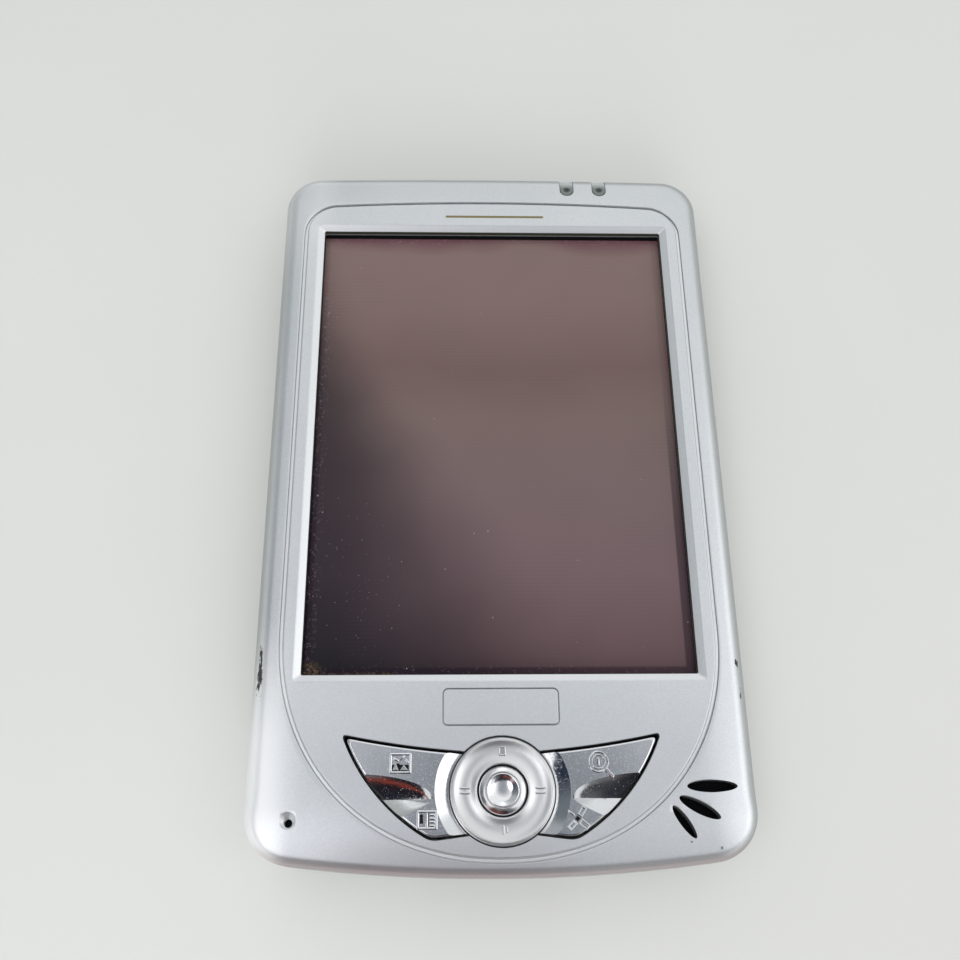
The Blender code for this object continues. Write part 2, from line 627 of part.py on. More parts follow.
def make_display():
    half_x, half_y = DISPLAY_HALF
    gasket = box("screen_gasket", (-28.9 * MM, DISPLAY_CENTRE_Y - 41 * MM, GASKET_Z[0]),
                 (28.9 * MM, DISPLAY_CENTRE_Y + 41 * MM, GASKET_Z[1]))
    cut_box(gasket, "gasket_hole", (*GASKET_HOLE_LOW, 11 * MM), (*GASKET_HOLE_HIGH, 14 * MM))
    for name, reach, span in (("touch_panel", 28.9 * MM, GLASS_Z), ("lcd_panel", 28.5 * MM, LCD_Z),
                              ("light_guide", 28.3 * MM, GUIDE_Z)):
        side = half_y - half_x + reach
        box(name, (-reach, DISPLAY_CENTRE_Y - side, span[0]),
            (reach, DISPLAY_CENTRE_Y + side, span[1]), round_edges=0.12 * MM, segments=1)
    tray = box("lcd_tray", (-half_x, DISPLAY_CENTRE_Y - half_y, TRAY_Z[0]),
               (half_x, DISPLAY_CENTRE_Y + half_y, TRAY_Z[1]))
    inner = TRAY_SHEET
    cut_box(tray, "tray_inside",
            (-half_x + inner, DISPLAY_CENTRE_Y - half_y + inner, TRAY_Z[0] + inner),
            (half_x - inner, DISPLAY_CENTRE_Y + half_y - inner, TRAY_Z[1] + 1 * MM))


def make_display_flex():
    """A thin ribbon that leaves the tray's lower end and turns under it to the board."""
    outer = DISPLAY_CENTRE_Y - DISPLAY_HALF[1] - 0.55 * MM
    foot_y = outer + 9 * MM
    thick = 0.25 * MM
    low = 6.85 * MM
    profile = [(outer, 9.8 * MM), (outer, low), (foot_y, low), (foot_y, low + thick),
               (outer + thick, low + thick), (outer + thick, 9.8 * MM)]
    ribbon = outline_solid("display_flex", profile, -9 * MM, 9 * MM)
    turn = Matrix(((0, 0, 1, 0), (1, 0, 0, 0), (0, 1, 0, 0), (0, 0, 0, 1)))
    ribbon.data.transform(turn)


# ---------------------------------------------------------------- electronics

def make_main_board():
    outline = [(-31.5 * MM, -46 * MM), (-15 * MM, -46 * MM), (-15 * MM, -53 * MM),
               (15 * MM, -53 * MM), (15 * MM, -45 * MM), (26.6 * MM, -45 * MM),
               (26.6 * MM, 48.5 * MM), (19.7 * MM, 48.5 * MM), (19.7 * MM, 53.5 * MM),
               (-26 * MM, 53.5 * MM), (-26 * MM, 48.5 * MM), (-31.5 * MM, 48.5 * MM)]
    board = outline_solid("main_board", outline, *BOARD_Z)
    cut_box(board, "jack_notch", (JACK_X - 4.1 * MM, 39.6 * MM, 5 * MM),
            (JACK_X + 4.1 * MM, 55 * MM, 7 * MM))


def make_chips():
    chips = {
        "processor_chip": ((-12 * MM, -39.4 * MM), (12.4 * MM, 12.4 * MM)),
        "memory_chip_1": ((2 * MM, -39.4 * MM), (10 * MM, 11 * MM)),
        "memory_chip_2": ((14.5 * MM, -39.4 * MM), (10 * MM, 11 * MM)),
        "flash_chip": ((21 * MM, 26 * MM), (7 * MM, 11 * MM)),
        "audio_chip": ((20.8 * MM, 40 * MM), (6 * MM, 6 * MM)),
    }
    for name, (centre, size) in chips.items():
        box(name, (centre[0] - size[0] / 2, centre[1] - size[1] / 2, UNDER_BOARD_Z - 1.1 * MM),
            (centre[0] + size[0] / 2, centre[1] + size[1] / 2, UNDER_BOARD_Z),
            round_edges=0.15 * MM, segments=1)


def make_batteries():
    box("battery_pack", (BATTERY_X[0], BATTERY_Y[0], BACK_FLOOR + GAP),
        (BATTERY_X[1], BATTERY_Y[1], UNDER_BOARD_Z), round_edges=1.2 * MM, segments=3)
    cylinder("backup_cell", 10.5 * MM, 27 * MM, 3.2 * MM, UNDER_BOARD_Z, 3.4 * MM, 24)


def make_card():
    """Open-ended metal card cage under the board, with a blank card in it."""
    half = CARD_SIZE[0] / 2
    low_z = CARD_Z
    high_z = CARD_Z + CARD_SIZE[2]
    cage = box("card_cage", (CARD_CENTRE_X - half - 0.7 * MM, 21.6 * MM, low_z - 0.5 * MM),
               (CARD_CENTRE_X + half + 0.7 * MM, 52 * MM, high_z + 0.5 * MM))
    cut_box(cage, "card_channel", (CARD_CENTRE_X - half - 0.3 * MM, 22.4 * MM, low_z - 0.2 * MM),
            (CARD_CENTRE_X + half + 0.3 * MM, 56 * MM, high_z + 0.2 * MM))
    low_y = CARD_TOP_Y - CARD_SIZE[1]
    left = CARD_CENTRE_X - half
    right = CARD_CENTRE_X + half
    clip = 4 * MM
    outline = [(left, low_y), (right - clip, low_y), (right, low_y + clip), (right, CARD_TOP_Y),
               (left, CARD_TOP_Y)]
    card = outline_solid("memory_card", outline, low_z, high_z)
    cut_box(card, "card_grip", (CARD_CENTRE_X - 6 * MM, CARD_TOP_Y - 2 * MM, low_z - 1 * MM),
            (CARD_CENTRE_X + 6 * MM, CARD_TOP_Y - 1.2 * MM, low_z + 0.4 * MM))


def make_sockets():
    jack = box("headphone_jack", (JACK_X - 3.7 * MM, 40 * MM, 2.0 * MM),
               (JACK_X + 3.7 * MM, 52.4 * MM, 7.0 * MM), round_edges=0.3 * MM, segments=1)
    cut_round_y(jack, "jack_bore", JACK_X, JACK_Z, 1.8 * MM, 41.5 * MM, 56 * MM)
    sync = box("sync_connector", (-9.6 * MM, -54.6 * MM, 2.6 * MM),
               (9.6 * MM, -48.5 * MM, UNDER_BOARD_Z), round_edges=0.25 * MM, segments=1)
    cut_box(sync, "sync_slot", (-8.4 * MM, -56 * MM, 3.3 * MM), (8.4 * MM, -50.5 * MM, 4.6 * MM))


def make_sound():
    cup = [(0.0, 9.9 * MM), (2.2 * MM, 10.1 * MM), (4.4 * MM, 10.9 * MM), (5.2 * MM, 10.9 * MM),
           (5.3 * MM, 10.3 * MM), (5.3 * MM, 9.6 * MM), (4.2 * MM, 9.0 * MM), (4.2 * MM, 8.0 * MM),
           (0.0, 8.0 * MM)]
    turned("speaker", cup, (*SPEAKER, 0.0), steps=28)
    mesh = [(24.4 * MM, -44 * MM), (24.4 * MM, -46.2 * MM), (22.2 * MM, -47.2 * MM),
            (24.6 * MM, -52.4 * MM), (27.2 * MM, -52.4 * MM), (32.4 * MM, -47.5 * MM),
            (32.4 * MM, -44 * MM)]
    outline_solid("speaker_mesh", mesh, 11.95 * MM, 12.15 * MM)
    cylinder("microphone", *MICROPHONE, 9.7 * MM, 11.7 * MM, 2.0 * MM, 20)
    boot = [(2.8 * MM, 11.9 * MM), (2.8 * MM, 9.9 * MM), (2.2 * MM, 9.9 * MM), (2.2 * MM, 11.9 * MM)]
    turned("microphone_boot", boot, (*MICROPHONE, 0.0), steps=20, closed=True)


# ---------------------------------------------------------------- keys

def make_select_button():
    profile = [(0.0, 14.62 * MM), (1.1 * MM, 14.68 * MM), (1.9 * MM, 14.85 * MM),
               (2.2 * MM, 14.9 * MM), (2.7 * MM, 14.72 * MM), (3.0 * MM, 14.4 * MM),
               (SELECT_RADIUS, 14.0 * MM), (SELECT_RADIUS, 10.9 * MM), (0.0, 10.9 * MM)]
    turned("select_button", profile, (0.0, NAV_Y, 0.0), steps=32)


def make_nav_ring():
    rim = NAV_RING_RADIUS
    profile = [(rim - 0.15 * MM, 14.5 * MM), (rim, 14.35 * MM), (rim, 12.1 * MM),
               (NAV_HOLE_RADIUS, 12.1 * MM), (NAV_HOLE_RADIUS, 14.3 * MM), (3.7 * MM, 14.42 * MM),
               (4.3 * MM, 14.25 * MM), (5.0 * MM, 14.15 * MM), (5.7 * MM, 14.2 * MM),
               (6.3 * MM, 14.4 * MM), (6.5 * MM, 14.5 * MM)]
    turned("nav_ring", profile, (0.0, NAV_Y, 0.0), steps=40, closed=True)
    base = [(6.5 * MM, NAV_BASE_Z[1]), (6.5 * MM, NAV_BASE_Z[0]), (3.9 * MM, NAV_BASE_Z[0]),
            (3.9 * MM, NAV_BASE_Z[1])]
    turned("nav_base", base, (0.0, NAV_Y, 0.0), steps=32, closed=True)


def make_key(name, side):
    """One rocker key: a thick cap with a retaining lip, a scoop and a slope towards the ring."""
    cap = key_outline(KEY_CLEARANCE, 0.25 * MM)
    lip = key_outline(-KEY_LIP_OUT, 0.25 * MM)
    if side < 0:
        cap = mirrored(cap)
        lip = mirrored(lip)
    key = outline_solid(name, cap, KEY_LIP_Z[1] - 0.1 * MM, KEY_TOP_Z)
    round_rim(key, KEY_TOP_Z, 0.15 * MM, 1)
    combine(key, outline_solid(name + "_lip", lip, *KEY_LIP_Z, CUTTERS), "UNION")
    combine(key, ball(f"cut_{name}_scoop", (side * 17.8 * MM, -46.3 * MM, KEY_TOP_Z + 0.15 * MM),
                      (8.6 * MM, 2.6 * MM, 1.0 * MM), CUTTERS, 24, 12))
    combine(key, cone(f"cut_{name}_slope", 0.0, NAV_Y, 13.25 * MM, KEY_TOP_Z + 0.1 * MM,
                      7.0 * MM, 9.2 * MM, 40))
    set_origin(key, (side * KEY_PIVOT[0], KEY_PIVOT[1], KEY_PIVOT[2]))


def make_key_contacts():
    outline = [(-21 * MM, -36.2 * MM), (-21 * MM, -44 * MM), (-15.5 * MM, -50 * MM),
               (-10 * MM, -53 * MM), (10 * MM, -53 * MM), (15.5 * MM, -50 * MM),
               (21 * MM, -44 * MM), (21 * MM, -36.2 * MM)]
    outline_solid("key_board", outline, *KEY_BOARD_Z)
    mat = outline_solid("key_mat", outline, *KEY_MAT_Z)
    spots = [(0.0, NAV_Y)]
    for side in (-1, 1):
        spots += [(side * 13.9 * MM, -42 * MM), (side * 10.2 * MM, -49.2 * MM)]
        spots += [(side * 5.2 * MM, NAV_Y), (0.0, NAV_Y + side * 5.2 * MM)]
    for number, (x, y) in enumerate(spots, 1):
        combine(mat, cylinder(f"mat_dome_{number}", x, y, KEY_MAT_Z[0] + 0.1 * MM, KEY_DOME_Z,
                              1.1 * MM, 12, CUTTERS), "UNION")


def make_side_buttons():
    power = box("power_button", (-3.0 * MM, 51.4 * MM, 8.8 * MM), (3.0 * MM, 56.4 * MM, 11.0 * MM),
                round_edges=0.4 * MM)
    combine(power, box("power_flange", (-4.0 * MM, 53.2 * MM, 8.1 * MM),
                       (4.0 * MM, 54.1 * MM, 11.6 * MM), CUTTERS), "UNION")
    box("power_switch", (-3.0 * MM, 49.0 * MM, 6.8 * MM), (3.0 * MM, 50.6 * MM, 10.8 * MM),
        round_edges=0.2 * MM, segments=1)
    record = box("record_button", (-34.8 * MM, 20.5 * MM, 8.7 * MM),
                 (-31.5 * MM, 28.5 * MM, 10.9 * MM), round_edges=0.4 * MM)
    combine(record, box("record_flange", (-32.7 * MM, 19.4 * MM, 8.0 * MM),
                        (-31.9 * MM, 29.6 * MM, 11.1 * MM), CUTTERS), "UNION")
    box("record_switch", (-30.9 * MM, 22.5 * MM, 8.7 * MM), (-29.8 * MM, 26.5 * MM, 10.8 * MM),
        round_edges=0.15 * MM, segments=1)


def make_lights():
    form = outline_solid("lens_form", case_outline(0.12 * MM), SPLIT_Z, FACE_Z - 0.1 * MM, CUTTERS)
    round_rim(form, FACE_Z - 0.1 * MM, FRONT_EDGE_ROUND, 5)
    for name, x in LENS_X.items():
        lens = outline_solid(name, lens_slot(x, THIN_GAP), LENS_SEAT_Z + THIN_GAP, FACE_Z + 1 * MM)
        combine(lens, form, "INTERSECT")
        combine(lens, cylinder(name + "_stem", x, LENS_Y, 11.3 * MM, LENS_SEAT_Z + 0.5 * MM,
                               LENS_STEM_RADIUS, 12, CUTTERS), "UNION")
    box("infrared_window", (-26.7 * MM, 53.4 * MM, 8.7 * MM), (-18.3 * MM, 56.2 * MM, 11.3 * MM),
        round_edges=0.25 * MM, segments=1)
    box("infrared_module", (-26.0 * MM, 49.6 * MM, 6.8 * MM), (-19.0 * MM, 53.0 * MM, 10.8 * MM),
        round_edges=0.25 * MM, segments=1)


# ---------------------------------------------------------------- stylus

def make_stylus():
    """Tip, barrel and cap in their silo, all turned about a line along Y."""
    axis_point = (STYLUS_X, 0.0, STYLUS_Z)
    radius = STYLUS_RADIUS
    tip_top = STYLUS_TIP_Y + 6 * MM
    cap_low = STYLUS_END_Y - 9 * MM
    tip = [(0.0, tip_top), (1.6 * MM, tip_top), (1.6 * MM, tip_top - 1.5 * MM),
           (0.7 * MM, STYLUS_TIP_Y + 0.9 * MM), (0.35 * MM, STYLUS_TIP_Y), (0.0, STYLUS_TIP_Y)]
    barrel = [(0.0, cap_low - GAP), (radius, cap_low - GAP), (radius, tip_top + 1 * MM),
              (1.6 * MM, tip_top + GAP), (0.0, tip_top + GAP)]
    cap = [(0.0, STYLUS_END_Y), (0.9 * MM, STYLUS_END_Y - 0.15 * MM),
           (1.6 * MM, STYLUS_END_Y - 0.6 * MM), (2.1 * MM, STYLUS_END_Y - 1.5 * MM),
           (2.1 * MM, STYLUS_END_Y - 2.2 * MM), (radius, STYLUS_END_Y - 2.5 * MM),
           (radius, cap_low), (0.0, cap_low)]
    inner, outer = TUBE_RADII
    mouth = 52.6 * MM
    end = STYLUS_TIP_Y - 1.5 * MM
    tube = [(0.0, end + 0.8 * MM), (inner, end + 0.8 * MM), (inner, mouth), (outer, mouth),
            (outer, end), (0.0, end)]
    for name, profile in (("stylus_tip", tip), ("stylus_barrel", barrel), ("stylus_cap", cap),
                          ("stylus_tube", tube)):
        turned(name, profile, axis_point, steps=20, along_y=True)


# ---------------------------------------------------------------- finish

def make_material(obj, finish):
    colour, roughness, metallic = FINISHES[finish]
    material = bpy.data.materials.new(obj.name)
    material.use_nodes = True
    shader = material.node_tree.nodes["Principled BSDF"]
    shader.inputs["Base Color"].default_value = (*colour, 1.0)
    shader.inputs["Roughness"].default_value = roughness
    shader.inputs["Metallic"].default_value = metallic
    obj.data.materials.clear()
    obj.data.materials.append(material)


PART_FINISH = {
    "front_shell": "silver_paint", "face_plate": "silver_paint", "name_plate": "silver_paint",
    "back_cover": "back_paint", "touch_panel": "dark_glass", "screen_gasket": "black_foam",
    "lcd_panel": "lcd", "light_guide": "white_plastic", "lcd_tray": "steel",
    "display_flex": "amber_film", "main_board": "board", "key_board": "board",
    "battery_pack": "battery_wrap", "backup_cell": "steel", "card_cage": "steel",
    "memory_card": "black_plastic", "headphone_jack": "black_plastic",
    "sync_connector": "black_plastic", "speaker": "steel", "speaker_mesh": "black_foam",
    "microphone": "steel", "microphone_boot": "black_foam", "select_button": "chrome",
    "nav_ring": "chrome", "nav_base": "grey_plastic", "left_key": "chrome", "right_key": "chrome",
    "key_mat": "silicone", "power_button": "chrome", "power_switch": "black_plastic",
    "record_button": "chrome", "record_switch": "black_plastic", "infrared_window": "infrared_lens",
    "infrared_module": "black_plastic", "led_lens_left": "smoke_lens",
    "led_lens_right": "smoke_lens", "stylus_tip": "black_plastic", "stylus_barrel": "grey_plastic",
    "stylus_cap": "silver_paint", "stylus_tube": "grey_plastic", "rating_label": "label",
}


def finish_for(name):
    if name.endswith("_chip") or name.startswith("memory_chip"):
        return "chip"
    if name.startswith("case_screw"):
        return "steel"
    return PART_FINISH[name]


def shade(obj):
    obj.data.shade_smooth()
    obj.data.set_sharp_from_angle(angle=math.radians(35))


def build():
    make_front_shell()
    make_face_plate()
    make_back_cover()
    make_case_screws()
    make_name_plate()
    make_rating_label()
    make_display()
    make_display_flex()
    make_main_board()
    make_chips()
    make_batteries()
    make_card()
    make_sockets()
    make_sound()
    make_select_button()
    make_nav_ring()
    make_key("left_key", -1)
    make_key("right_key", 1)
    make_key_contacts()
    make_side_buttons()
    make_lights()
    make_stylus()
    root = bpy.data.objects.new("handheld", None)
    PARTS.objects.link(root)
    for obj in list(PARTS.objects):
        if obj.type == "MESH":
            make_material(obj, finish_for(obj.name))
            shade(obj)
            obj.parent = root


build()
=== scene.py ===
"""Looks of the handheld computer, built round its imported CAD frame.

The device lies on its back, with +Z out of the screen and +Y to the top edge. Its lengths are in
millimetres and become metres when a mesh is made. Lamps, camera and world are in metres.
"""
from math import acos, atan2, copysign, cos, degrees, pi, radians, sin, sqrt

import bmesh
import bpy
import numpy as np
from mathutils import Matrix, Vector


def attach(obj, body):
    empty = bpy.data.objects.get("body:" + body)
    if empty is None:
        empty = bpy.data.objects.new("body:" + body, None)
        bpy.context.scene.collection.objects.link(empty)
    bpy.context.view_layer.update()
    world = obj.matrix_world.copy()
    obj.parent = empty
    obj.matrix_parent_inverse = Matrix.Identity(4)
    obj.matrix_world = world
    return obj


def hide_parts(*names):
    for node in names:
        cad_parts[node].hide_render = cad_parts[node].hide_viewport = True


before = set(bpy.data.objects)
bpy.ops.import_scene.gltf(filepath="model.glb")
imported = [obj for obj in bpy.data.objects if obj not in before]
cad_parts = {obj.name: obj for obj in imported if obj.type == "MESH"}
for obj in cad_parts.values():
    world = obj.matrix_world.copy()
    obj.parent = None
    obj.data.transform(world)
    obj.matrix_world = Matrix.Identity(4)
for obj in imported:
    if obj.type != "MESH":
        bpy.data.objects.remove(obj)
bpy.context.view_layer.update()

MM = 0.001

# ---- sizes
# The CAD's, but for the ring's well, the speaker slots' shape, the lens notches and small rounds.

CASE_WIDTH, CASE_LENGTH = 69.6, 112.8
FACE_Z = 14.1
SEAM_LOW, SEAM_HIGH = 7.05, 7.35
WALL = 1.6
TOP_BOW, BOTTOM_BOW = 1300.0, 240.0
TOP_CORNER, BOTTOM_CORNER = 6.0, 7.0
FRONT_ROUND, LOW_ROUND, CROWN_DROP, CROWN_WIDTH = 2.3, 1.3, 0.8, 8.0
BACK_INSET, BACK_ROUND = 0.35, 5.0
LIP_INSET, LIP_TOP, HOLLOW_Z, HOLLOW_ROUND = (1.9, 2.4), 7.75, 4.6, 3.2
CEILING = 12.3
GROOVE_ROUND = 0.1

PLATE_HALF_WIDTH, PLATE_TOP_Y, PLATE_TOP_BOW, PLATE_CORNER = 31.2, 50.2, 400.0, 5.5
BELLY_Y, BELLY_POWER = -23.4, 2.16
LEDGE, LEDGE_TOP, LEDGE_Z, SEAM, LEDGE_ROUND = 0.55, 0.3, 13.65, 0.05, 0.07
PLATE_LOW, PLATE_EDGE = 11.8, 0.24

WINDOW_Y, WINDOW_SIZE, SLOPE_WIDTH, SLOPE_DROP = 7.35, (55.8, 74.1), 1.1, 0.5
NAV_Y, NAV_WELL_SHOWN = -45.45, 7.25
KEY_TOP, KEY_LOW, KEY_CLEARANCE, KEY_RING_GAP, KEY_EDGE = 14.25, 11.6, 0.35, 0.12, 0.3
KEY_OUTER = (-2.88, -28.47, 26.49)
KEY_UPPER = (-4.62, 89.05, 129.69)
KEY_LOWER = (44.1, 246.2, 300.0)
KEY_INNER = (0.0, NAV_Y, 7.15)
TIP_ROUND, FOOT_ROUND = 0.85, 0.95
PETALS = ((28.39, -45.05, 6.9, 1.6, 0), (26.44, -47.83, 6.0, 1.6, -27),
          (24.24, -49.66, 5.0, 1.3, -55))
PETAL_POWER = 1.03
MICROPHONE = (-28.45, -49.4)
LENS_X, LENS_Y, LENS_SLOT, LENS_SEAT = (12.7, 18.2), 53.2, (2.36, 5.9), 12.4
NAME_PLATE = ((-0.05, -34.3), (15.85, 4.85))
NAME_GAP, NAME_RECESS = 0.15, 0.6
SCREWS = ((-29.3, 52.2), (22.5, 52.9), (-19.8, -52.3), (19.8, -52.3))

# Side openings: centre and size in the wall, corner round, axis, cutter's start and length.
INFRARED_SLOT = ((-22.5, 10.0), (9.0, 3.2), 0.6, "Y", 53, 5)
POWER_SLOT = ((0.0, 9.9), (6.6, 2.8), 0.5, "Y", 53, 5)
RECORD_SLOT = ((24.5, 9.8), (8.6, 2.8), 0.5, "X", -36, 4)
CARD_SLOT = ((-10.4, 3.75), (25.0, 2.8), 0.5, "Y", 50, 8)
CONNECTOR_SLOT = ((0.0, 3.95), (20.0, 3.3), 0.5, "Y", -58, 6)


# ---- outlines

def arc(centre, radius, start, end, count):
    """Points on a circle from one angle to the other, in degrees."""
    turns = [radians(start + (end - start) * i / count) for i in range(count + 1)]
    return [(centre[0] + radius * cos(a), centre[1] + radius * sin(a)) for a in turns]


def circle(centre, radius, count):
    return arc(centre, radius, 0, 360, count)[:-1]


def mirrored(points):
    return [(-x, y) for x, y in reversed(points)]


def run(start, end, count):
    """Points along a straight line, without its last one."""
    return [tuple(Vector(start).lerp(Vector(end), i / count)) for i in range(count)]


def bowed_corner(half_width, end_y, bow, corner):
    """Centre and end angle of the round between a straight side and a bowed end."""
    reach = half_width - corner
    drop = bow - sqrt((bow - corner) ** 2 - reach ** 2)
    return (reach, end_y - drop), degrees(acos(reach / (bow - corner)))


def bowed_end(end_x, end_y, bow, count):
    """Points along a bowed end, from its middle out to its corner, without the last one."""
    across = [end_x * i / count for i in range(count)]
    return [(x, end_y - bow + sqrt(bow ** 2 - x * x)) for x in across]


def case_outline(inset):
    """Case seen from the front: straight sides, slightly bowed ends, round corners."""
    half_x, half_y = CASE_WIDTH / 2 - inset, CASE_LENGTH / 2 - inset
    top, top_angle = bowed_corner(half_x, half_y, TOP_BOW, TOP_CORNER - inset)
    low, low_angle = bowed_corner(half_x, half_y, BOTTOM_BOW, BOTTOM_CORNER - inset)
    low_corner = arc((low[0], -low[1]), BOTTOM_CORNER - inset, -low_angle, 0, 20)
    top_corner = arc(top, TOP_CORNER - inset, 0, top_angle, 20)
    right = [(x, -y) for x, y in bowed_end(low_corner[0][0], half_y, BOTTOM_BOW, 26)]
    right += low_corner[:-1] + run(low_corner[-1], top_corner[0], 80) + top_corner
    right += bowed_end(top_corner[-1][0], half_y, TOP_BOW, 26)[::-1]
    return right + mirrored(right[1:-1])


def plate_outline(side, top):
    """Face plate: round top corners and a belly that follows a superellipse."""
    half_x, top_y = PLATE_HALF_WIDTH + side, PLATE_TOP_Y + top
    corner, angle = bowed_corner(half_x, top_y, PLATE_TOP_BOW, PLATE_CORNER + side)
    right = []
    for step in range(64):
        turn = radians(90 * step / 64)
        right.append((half_x * sin(turn) ** (2 / BELLY_POWER),
                      BELLY_Y - half_x * cos(turn) ** (2 / BELLY_POWER)))
    top_corner = arc(corner, PLATE_CORNER + side, 0, angle, 18)
    right += run((half_x, BELLY_Y), top_corner[0], 30) + top_corner
    right += bowed_end(top_corner[-1][0], top_y, PLATE_TOP_BOW, 16)[::-1]
    return right + mirrored(right[1:-1])


def rounded_rectangle(centre, size, radius, steps=6):
    reach = (size[0] / 2 - radius, size[1] / 2 - radius)
    points = []
    for turn, (sx, sy) in enumerate(((1, 1), (-1, 1), (-1, -1), (1, -1))):
        middle = (centre[0] + sx * reach[0], centre[1] + sy * reach[1])
        points += arc(middle, radius, 90 * turn, 90 * turn + 90, steps)
    return points


def petal_outline(centre_x, centre_y, length, width, angle):
    """A slim slot between an ellipse and a pointed leaf."""
    turn = Matrix.Rotation(radians(angle), 2)
    points = []
    for x, y in circle((0, 0), 1, 48):
        spot = Vector((copysign(abs(x) ** PETAL_POWER, x) * length / 2,
                       copysign(abs(y) ** PETAL_POWER, y) * width / 2))
        points.append(tuple(turn @ spot + Vector((centre_x, centre_y))))
    return points


def circles_meet(first, second, prefer):
    """The crossing of two circles that lies nearest to a given point."""
    apart = Vector((second[0] - first[0], second[1] - first[1]))
    along = (first[2] ** 2 - second[2] ** 2 + apart.length ** 2) / (2 * apart.length)
    unit = apart.normalized()
    side = Vector((-unit.y, unit.x)) * sqrt(first[2] ** 2 - along ** 2)
    middle = Vector(first[:2]) + unit * along
    return min((middle + side, middle - side), key=lambda p: (p - Vector(prefer)).length)


def arc_between(circle, start, end, count, trims=(0, 0)):
    """Points along a circle, the short way round, stopping short of each end by its trim."""
    begin = atan2(start[1] - circle[1], start[0] - circle[0])
    finish = atan2(end[1] - circle[1], end[0] - circle[0])
    turn = (finish - begin + pi) % (2 * pi) - pi
    short = copysign(1 / circle[2], turn)
    return arc(circle[:2], circle[2], degrees(begin + short * trims[0]),
               degrees(begin + turn - short * trims[1]), count)


def soft_corner(before, corner, after):
    """Points on a small curve that rounds off a corner between two points near it."""
    start, corner, end = Vector(before), Vector(corner), Vector(after)
    steps = [i / 6 for i in range(1, 6)]
    return [tuple(start * (1 - t) ** 2 + corner * 2 * t * (1 - t) + end * t * t) for t in steps]


def key_outline(inset, inner_inset):
    """Right-hand key, drawn inside its pocket by inset and off the ring by inner_inset."""
    outer = (*KEY_OUTER[:2], KEY_OUTER[2] - inset)
    upper = (*KEY_UPPER[:2], KEY_UPPER[2] + inset)
    lower = (*KEY_LOWER[:2], KEY_LOWER[2] - inset)
    inner = (*KEY_INNER[:2], KEY_INNER[2] + inner_inset)
    tip = circles_meet(outer, upper, (21.8, -38.3))
    foot = circles_meet(outer, lower, (10.7, -51.8))
    low_inner = circles_meet(inner, lower, (4.4, -51.2))
    high_inner = circles_meet(inner, upper, (5, -40.5))
    outside = arc_between(outer, tip, foot, 40, (TIP_ROUND, FOOT_ROUND))
    below = arc_between(lower, foot, low_inner, 12, (FOOT_ROUND, 0))
    inside = arc_between(inner, low_inner, high_inner, 28)
    above = arc_between(upper, high_inner, tip, 24, (0, TIP_ROUND))
    points = soft_corner(above[-1], tip, outside[0]) + outside
    points += soft_corner(outside[-1], foot, below[0]) + below + inside[1:] + above[1:]
    return points[::-1]


def offset(points, distance):
    """Move a closed outline outwards; it runs anticlockwise."""
    spots = [Vector(p) for p in points]
    moved = []
    for i, spot in enumerate(spots):
        before = (spot - spots[i - 1]).normalized()
        after = (spots[(i + 1) % len(spots)] - spot).normalized()
        first, second = Vector((before.y, -before.x)), Vector((after.y, -after.x))
        moved.append(tuple(spot + (first + second) * distance / max(0.6, 1 + first.dot(second))))
    return moved


# ---- solids: (points, faces)

def ring(points, z):
    return [(x, y, z) for x, y in points]


def loft(rings, closed=False):
    """Faces between rings of equal length, with flat ends unless the rings close on themselves."""
    count, total = len(rings[0]), len(rings)
    points = [tuple(p) for one in rings for p in one]
    faces = []
    for r in range(total if closed else total - 1):
        a, b = r * count, (r + 1) % total * count
        faces += [(a + i, a + (i + 1) % count, b + (i + 1) % count, b + i) for i in range(count)]
    if not closed:
        faces.append(tuple(reversed(range(count))))
        faces.append(tuple(range((total - 1) * count, total * count)))
    return points, faces


def prism(points, low, high):
    return loft([ring(points, low), ring(points, high)])


def band(outer, inner, low, high):
    """A flat frame between two outlines of equal length."""
    return loft([ring(outer, low), ring(outer, high), ring(inner, high), ring(inner, low)], True)


def rounding(radius, steps, end=90):
    """(inset, drop) pairs round an edge, from where it leaves the side up to the top."""
    turns = [radians(end * i / steps) for i in range(steps + 1)]
    return [(radius * (1 - cos(a)), radius * (1 - sin(a))) for a in turns]


def pebble(points, low, high, radius, steps=6):
    """A prism whose upper edge is rounded."""
    rings = [ring(points, low), ring(points, high - radius)]
    for inset, drop in rounding(radius, steps)[1:]:
        rings.append(ring(offset(points, -inset), high - drop))
    return loft(rings)


def flared(points, low, face, radius, steps=5):
    """A cutter for a hole whose upper edge is rounded."""
    rings = [ring(points, low), ring(points, face - radius)]
    for outset, drop in rounding(radius, steps, 80)[1:]:
        rings.append(ring(offset(points, outset), face - drop))
    return loft(rings + [ring(offset(points, radius), face + above) for above in (0.02, 1.5)])


def turned(profile, centre, steps, closed=False):
    """A profile of (radius, height) pairs turned about an upright line."""
    rings = []
    for radius, height in profile:
        rings.append([(x, y, height) for x, y in circle(centre, radius, steps)])
    return loft(rings, closed)


def turned_y(profile, x, z, steps):
    """A profile of (radius, y) pairs turned about a line along Y."""
    rings = []
    for radius, y in profile:
        rings.append([(a, y, b) for a, b in circle((x, z), radius, steps)])
    return loft(rings)


def smooth(profile, steps=4):
    """A Catmull-Rom curve through the points of a profile."""
    points = [Vector(p) for p in profile]
    points = [points[0] * 2 - points[1], *points, points[-1] * 2 - points[-2]]
    curve = []
    for a, b, c, d in zip(points, points[1:], points[2:], points[3:]):
        for t in (i / steps for i in range(steps)):
            curve.append(tuple(0.5 * (2 * b + (c - a) * t + (2 * a - 5 * b + 4 * c - d) * t * t
                                      + (3 * b - a - 3 * c + d) * t ** 3)))
    return curve + [tuple(points[-2])]


